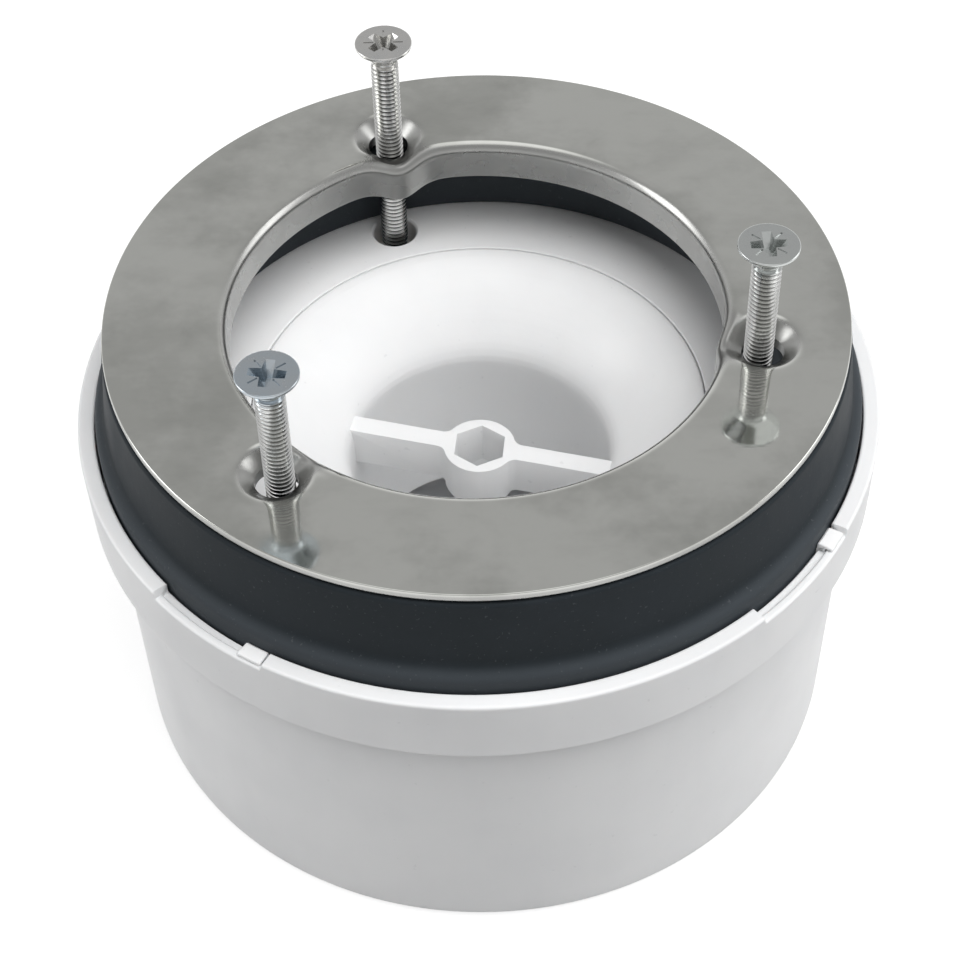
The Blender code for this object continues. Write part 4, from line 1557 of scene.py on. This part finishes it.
def thread_tree() -> bpy.types.NodeTree:
    """Make the tree that adds a helical thread ridge, faded at both ends, to a screw's core.

    Returns:
        The tree.
    """
    tree = ShapeTree("helical_thread", {"Root Radius": float, "Depth": float, "Pitch": float, "Turns": float,
                                        "Foot Z": float, "Steps Per Turn": int, "Fade": float})
    root = tree.size("Root Radius")
    helix = tree.out("GeometryNodeCurveSpiral", None, {
        "Resolution": tree.size("Steps Per Turn"), "Rotations": tree.size("Turns"), "Start Radius": root,
        "End Radius": root, "Height": tree.size("Pitch") * tree.size("Turns")})
    level = tree.out("GeometryNodeSetCurveNormal", {"mode": "Z_UP"}, {"Curve": helix})
    along = tree.out("GeometryNodeSplineParameter", None, None, "Factor")
    fade = tree.size("Fade") / tree.size("Turns")
    ends = (along / fade).maths("MINIMUM", (1.0 - along) / fade).maths("MINIMUM", 1.0)
    shaped = tree.out("GeometryNodeSetCurveRadius", None, {"Curve": level, "Radius": ends * 0.97 + 0.03})
    pitch, depth = tree.size("Pitch"), tree.size("Depth")
    ridge = tree.out("GeometryNodeCurvePrimitiveQuadrilateral", {"mode": "TRAPEZOID"}, {
        "Height": depth * 1.3, "Bottom Width": pitch * 0.97, "Top Width": pitch * 0.20, "Offset": 0.0})
    turned_ridge = tree.out("GeometryNodeTransform", None, {
        "Geometry": ridge, "Translation": tree.join(depth * -0.35, 0.0, 0.0),
        "Rotation": (0.0, 0.0, math.radians(90.0))})
    band = tree.out("GeometryNodeCurveToMesh", None,
                    {"Curve": shaped, "Profile Curve": turned_ridge, "Fill Caps": True})
    raised = tree.out("GeometryNodeTransform", None,
                      {"Geometry": band, "Translation": tree.join(0.0, 0.0, tree.size("Foot Z"))})
    both = tree.out("GeometryNodeJoinGeometry", None, {"Geometry": [tree.size("Geometry"), raised]})
    return tree.close(both)


@dataclass
class ClampScrews:
    """The three long countersunk screws with cross recesses, ticks and rolled threads."""

    turns: tuple[float, ...] = (45.0, -9.0, 3.0)
    head_rim: float = 0.45 * MM
    shank_r: float = 1.95 * MM
    core_r: float = 1.48 * MM
    crest_r: float = 1.97 * MM
    neck_r: float = 1.90 * MM
    neck_z: float = 3.0 * MM
    pitch: float = 0.70 * MM
    steps_per_turn: int = 30
    tip_z: float = 0.7 * MM
    thread_margin: float = 1.0 * MM
    thread_fade: float = 0.9
    arm: float = 2.35 * MM
    arm_width: float = 1.24 * MM
    foot_arm: float = 1.05 * MM
    foot_width: float = 0.62 * MM
    recess_depth: float = 1.9 * MM
    tick_reach: tuple[float, float] = (1.35 * MM, 2.75 * MM)
    tick_width: float = 0.26 * MM
    tick_depth: float = 0.16 * MM
    tints: tuple[Colour, ...] = ((0.62, 0.615, 0.60, 1.0), (0.49, 0.54, 0.58, 1.0), (0.57, 0.59, 0.58, 1.0))
    spot_tint: Colour = (0.50, 0.51, 0.515, 1.0)
    polish: float = 0.16

    def cross(self, arm: float, width: float) -> list[tuple[float, float]]:
        """Outline a cross.

        Args:
            arm: how far its arms reach.
            width: how wide they are.

        Returns:
            The points of the plan outline.
        """
        half = 0.5 * width
        points = []
        for quarter in range(4):
            c, s = math.cos(0.5 * math.pi * quarter), math.sin(0.5 * math.pi * quarter)
            for x, y in ((arm, -half), (arm, half), (half * 1.25, half * 1.25)):
                points.append((x * c - y * s, x * s + y * c))
        return points

    def recess(self, turn: float) -> bpy.types.Object:
        """Make the tapered cross recess and its four ticks.

        Args:
            turn: how far the recess is turned, in degrees.

        Returns:
            Both as one cutter.
        """
        above = 1.0 * MM
        grow = above / self.recess_depth
        low = self.cross(self.foot_arm, self.foot_width)
        top = self.cross(self.arm, self.arm_width)
        high = [(tx + (tx - lx) * grow, ty + (ty - ly) * grow) for (tx, ty), (lx, ly) in zip(top, low)]
        parts = [lofted("recess", low, -self.recess_depth, high, above)]
        near, far = self.tick_reach
        half = 0.5 * self.tick_width
        for index in range(4):
            tick = prism("tick", [(near, -half), (far, -half), (far, half), (near, half)],
                         -self.tick_depth, above)
            parts.append(place(tick, Matrix.Rotation(math.radians(45.0 + 90.0 * index), 4, "Z")))
        cutter = parts[0]
        carve(cutter, merged("ticks", parts[1:]), Cut.JOIN)
        return place(cutter, Matrix.Rotation(math.radians(turn), 4, "Z"))

    def build(self) -> list[bpy.types.Object]:
        """Build and dress the screws.

        Returns:
            The pieces.
        """
        tree = thread_tree()
        made = []
        for index, turn in enumerate(self.turns):
            node = f"clamp_screw_{index + 1}"
            low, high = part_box(node)
            head_r = 0.5 * (high.x - low.x)
            length = high.z - low.z
            x, y = 0.5 * (low.x + high.x), 0.5 * (low.y + high.y)
            cone_z = self.head_rim + head_r - self.shank_r
            screw = turned(f"screw_{index + 1}", rounded_outline([
                Corner(0.0, -length),
                Corner(self.core_r - 0.5 * MM, -length, 0.1 * MM, 2),
                Corner(self.core_r, -length + self.tip_z, 0.1 * MM, 2),
                Corner(self.core_r, -self.neck_z - 0.4 * MM, 0.1 * MM, 2),
                Corner(self.neck_r, -self.neck_z, 0.15 * MM, 2),
                Corner(self.neck_r, -cone_z, 0.5 * MM, 4),
                Corner(head_r, -self.head_rim, 0.12 * MM, 3),
                Corner(head_r, 0.0, 0.18 * MM, 4),
                Corner(0.0, 0.0),
            ], closed=False), even_turn(96), closed=False)
            carve(screw, self.recess(turn), Cut.REMOVE)
            # These radii place the painted shade at the thread's roots and the painted highlight at its
            # crests.
            radii = (self.core_r - 0.02 * MM, self.crest_r - 0.06 * MM)
            finish = TurnedMetal(f"plated_screw_{index + 1}", self.tints[index], self.spot_tint, self.polish,
                                 (x, y), thread_top=high.z - self.neck_z, thread_radii=radii).material()
            turns = (length - self.neck_z - self.thread_margin) / self.pitch
            apply_tree(screw, tree, {
                "Root Radius": self.core_r, "Depth": self.crest_r - self.core_r, "Pitch": self.pitch,
                "Turns": turns, "Foot Z": -length + 0.55 * MM, "Steps Per Turn": self.steps_per_turn,
                "Fade": self.thread_fade, "Material": finish})
            place(screw, Matrix.Translation((x, y, high.z)))
            made.append(dress(screw, finish, f"screw_{index + 1}", Slot.PLATED, node))
        return made


@dataclass
class LiftOutInsert:
    """The lift-out dish with its dip tube, sealing plug, bar and hexagonal hub."""

    well_r: float = 18.5 * MM
    well_z: float = 42.0 * MM
    well_round: float = 2.1 * MM
    rim_t: float = 1.5 * MM
    curve: tuple[tuple[float, float], ...] = ((30.6, 51.05), (29.2, 50.55), (27.4, 49.7), (25.7, 48.65),
                                              (24.0, 47.4), (22.5, 46.15), (21.2, 44.9), (20.3, 43.95),
                                              (19.5, 42.95), (18.95, 41.95), (18.6, 40.95))
    tube_z: float = 16.7 * MM
    tube_taper: float = 0.7 * MM
    tube_wall: float = 1.6 * MM
    plug_r: float = 29.1 * MM
    plug_wall: float = 3.0 * MM
    plug_z: float = 42.9 * MM
    web_out_z: float = 45.1 * MM
    web_in_z: float = 40.9 * MM
    groove_r: float = 27.5 * MM
    groove: tuple[float, float] = (44.2 * MM, 46.9 * MM)
    bar_turn: float = 164.5
    bar_width: float = 2.9 * MM
    bar_height: float = 6.4 * MM
    bar_ease: float = 0.16 * MM
    hub_r: float = 5.1 * MM
    hub_height: float = 7.0 * MM
    hub_sink: float = 1.0 * MM
    hub_fillet: float = 1.6 * MM
    hex_flats: float = 6.9 * MM
    hex_turn: float = 23.4

    def section(self, rim_r: float, rim_z: float) -> np.ndarray:
        """Outline dish, tube and plug.

        Args:
            rim_r: radius of the dish's edge.
            rim_z: height of the dish's edge.

        Returns:
            The points of the loop.
        """
        wall_in = self.plug_r - self.plug_wall
        corners = [Corner(self.well_r, self.well_z - self.well_round, 0.5 * MM, 5)]
        corners += [Corner(r * MM, z * MM, 0.45 * MM, 1) for r, z in reversed(self.curve)]
        corners += [
            Corner(rim_r, rim_z, 0.35 * MM, 4),
            Corner(rim_r, rim_z - self.rim_t, 0.2 * MM, 2),
            Corner(self.plug_r, rim_z - self.rim_t, 0.2 * MM, 2),
            Corner(self.plug_r, self.groove[1], 0.15 * MM, 2),
            Corner(self.groove_r, self.groove[1], 0.3 * MM, 2),
            Corner(self.groove_r, self.groove[0], 0.3 * MM, 2),
            Corner(self.plug_r, self.groove[0], 0.15 * MM, 2),
            Corner(self.plug_r, self.plug_z, 0.4 * MM, 3),
            Corner(wall_in, self.plug_z, 0.3 * MM, 2),
            Corner(wall_in, self.web_out_z, 0.8 * MM, 3),
            Corner(self.well_r + self.tube_wall, self.web_in_z, 0.6 * MM, 3),
            Corner(self.well_r - self.tube_taper + self.tube_wall, self.tube_z, 0.4 * MM, 3),
            Corner(self.well_r - self.tube_taper, self.tube_z, 0.4 * MM, 3),
        ]
        return rounded_outline(corners)

    def bar_plan(self, reach: float) -> list[tuple[float, float]]:
        """Outline bar and hub, with rounded roots.

        Args:
            reach: how far the bar goes to each side.

        Returns:
            The points of the plan outline.
        """
        half, fillet, hub = 0.5 * self.bar_width, self.hub_fillet, self.hub_r
        root_x = math.sqrt((hub + fillet) ** 2 - (half + fillet) ** 2)
        meet = math.atan2(half + fillet, root_x)
        side = [(reach, half)]
        for s in np.linspace(0.0, 1.0, 9):
            angle = -0.5 * math.pi - s * (0.5 * math.pi - meet)
            side.append((root_x + fillet * math.cos(angle), half + fillet + fillet * math.sin(angle)))
        top = [(hub * math.cos(a), hub * math.sin(a)) for a in np.linspace(meet, math.pi - meet, 30)[1:-1]]
        upper = side + top + [(-x, y) for x, y in reversed(side)]
        turn = math.radians(self.bar_turn)
        c, s = math.cos(turn), math.sin(turn)
        return [(x * c - y * s, x * s + y * c) for x, y in upper + [(-x, -y) for x, y in upper]]

    def build(self) -> bpy.types.Object:
        """Build and dress the insert.

        Returns:
            The piece.
        """
        _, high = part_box("trap_insert")
        insert = turned("insert_moulding", self.section(high.x, high.z), even_turn(240))
        reach = self.well_r + 0.5 * self.tube_wall
        bar = prism("bar", self.bar_plan(reach), self.well_z - self.bar_height, self.well_z)
        hub = prism("hub", circle(self.hub_r, 96), self.well_z - self.hub_height, self.well_z - self.hub_sink)
        carve(bar, hub, Cut.JOIN)
        corner_r = self.hex_flats / math.sqrt(3.0)
        socket = prism("socket", [polar(corner_r, self.hex_turn + 60.0 * n) for n in range(6)],
                       self.well_z - 2.0 * self.hub_height, self.well_z + self.hub_height)
        carve(bar, socket, Cut.REMOVE)
        ease(bar, self.bar_ease, 3, 42.0)
        carve(insert, bar, Cut.JOIN)
        return dress(insert, INSERT_PLASTIC.material(), "insert", Slot.WHITE, "trap_insert")


@dataclass(frozen=True)
class SoftBox:
    """One studio lamp: where it stands, how large and strong it is, and whether shiny pieces mirror it."""

    name: str
    stand: tuple[float, float, float]
    width: float
    height: float
    watts: float
    aim: tuple[float, float, float] = (0.0, 0.0, 0.045)
    mirrored: bool = True

    def build(self) -> None:
        """Hang the lamp."""
        lamp = bpy.data.lights.new(self.name, "AREA")
        lamp.shape = "RECTANGLE"
        lamp.size = self.width
        lamp.size_y = self.height
        lamp.energy = self.watts
        item = bpy.data.objects.new(self.name, lamp)
        item.location = self.stand
        item.rotation_mode = "QUATERNION"
        item.rotation_quaternion = (Vector(self.aim) - Vector(self.stand)).to_track_quat("-Z", "Y")
        item.visible_glossy = self.mirrored
        bpy.context.scene.collection.objects.link(item)


@dataclass
class Studio:
    """Floor, world, lamps and camera."""

    lamps: tuple[SoftBox, ...] = (
        SoftBox("overhead", (0.29, -0.24, 1.12), 1.10, 1.00, 13.8, mirrored=False),
        SoftBox("left_side", (-1.05, 0.05, 0.50), 0.50, 0.80, 4.2),
        SoftBox("right_side", (1.05, 0.15, 0.50), 0.50, 0.80, 2.8),
    )
    ambient: float = 0.25
    ceiling: float = 0.53
    zenith: float = 1.3
    horizon_band: tuple[float, float] = (0.05, 0.70)
    zenith_band: tuple[float, float] = (0.90, 0.98)
    bounces: int = 8
    floor_size: float = 3.0
    floor_drop: float = 0.2 * MM
    lens: float = 83.44
    film_width: float = 36.0
    clip: tuple[float, float] = (0.01, 20.0)
    pitch_down: float = 47.92
    roll: float = -1.45
    subject: tuple[float, float, float] = (-0.05 * MM, 22.42 * MM, 352.70 * MM)

    def floor(self) -> None:
        """Lay the floor."""
        half = self.floor_size
        mesh = bpy.data.meshes.new("floor")
        z = -self.floor_drop
        mesh.from_pydata([(-half, -half, z), (half, -half, z), (half, half, z), (-half, half, z)],
                         [], [(0, 1, 2, 3)])
        floor = bpy.data.objects.new("floor", mesh)
        floor.data.materials.append(StudioSurface().material())
        bpy.context.scene.collection.objects.link(floor)

    def world(self) -> None:
        """Set a soft world: white to the camera, and in reflections greyer overhead, with a bright zenith."""
        world = bpy.data.worlds.new("studio_world")
        world.use_nodes = True
        graph = Graph(world.node_tree)
        _, _, up = graph.split(graph.out("ShaderNodeTexCoord", None, None, "Generated"))
        mirrored = 1.0 - up.ramp(*self.horizon_band) * (1.0 - self.ceiling)
        mirrored = mirrored + up.ramp(*self.zenith_band) * (self.zenith - self.ceiling)
        rays = graph.node("ShaderNodeLightPath")
        camera = Sock(graph, rays.outputs["Is Camera Ray"]).maths(
            "MAXIMUM", Sock(graph, rays.outputs["Is Transmission Ray"]))
        glossy = Sock(graph, rays.outputs["Is Glossy Ray"])
        strength = self.ambient + (mirrored - self.ambient) * glossy
        strength = strength + (1.0 - strength) * camera
        sky = graph.out("ShaderNodeBackground", None, {"Color": (1.0, 1.0, 1.0, 1.0), "Strength": strength})
        graph.node("ShaderNodeOutputWorld", None, {"Surface": sky})
        bpy.context.scene.world = world

    def camera(self) -> None:
        """Place the camera at the photograph's view."""
        down = math.radians(self.pitch_down)
        roll = math.radians(self.roll)
        c, s = math.cos(roll), math.sin(roll)
        level = Matrix(((1.0, 0.0, 0.0), (0.0, -math.sin(down), -math.cos(down)),
                        (0.0, math.cos(down), -math.sin(down))))
        turn = Matrix(((c, -s, 0.0), (s, c, 0.0), (0.0, 0.0, 1.0))) @ level
        rest = turn.transposed()
        right, below, forward = rest.col[0], rest.col[1], rest.col[2]
        lens = bpy.data.cameras.new("camera")
        lens.lens = self.lens
        lens.sensor_width = self.film_width
        lens.clip_start, lens.clip_end = self.clip
        item = bpy.data.objects.new("camera", lens)
        stand = -(rest @ Vector(self.subject))
        axes = Matrix((right, -below, -forward)).transposed().to_4x4()
        item.matrix_world = Matrix.Translation(stand) @ axes
        bpy.context.scene.collection.objects.link(item)
        bpy.context.scene.camera = item

    def build(self) -> None:
        """Set up the whole studio."""
        bpy.context.scene.view_settings.view_transform = "Standard"
        bpy.context.scene.cycles.diffuse_bounces = self.bounces
        self.floor()
        self.world()
        for lamp in self.lamps:
            lamp.build()
        self.camera()


def screw_places() -> list[tuple[float, float]]:
    """Find the screws.

    Returns:
        Their plan centres, from the boxes of their solids.
    """
    places = []
    for index in range(SCREW_COUNT):
        low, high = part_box(f"clamp_screw_{index + 1}")
        places.append((0.5 * (low.x + high.x), 0.5 * (low.y + high.y)))
    return places


def main() -> None:
    """Build the dressed trap and its studio, piece by piece."""
    logging.basicConfig(level=logging.INFO, format="%(name)s %(message)s")
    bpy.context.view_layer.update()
    screws = screw_places()
    windows = Windows()
    PotBody(windows).build()
    FixingFlange(windows, screws).build()
    BrassInserts(screws).build()
    Seals().build()
    TrayGasket().build()
    ClampRing(math.degrees(math.atan2(screws[0][1], screws[0][0]))).build()
    ClampScrews().build()
    LiftOutInsert().build()
    Studio().build()


if __name__ == "__main__":
    main()
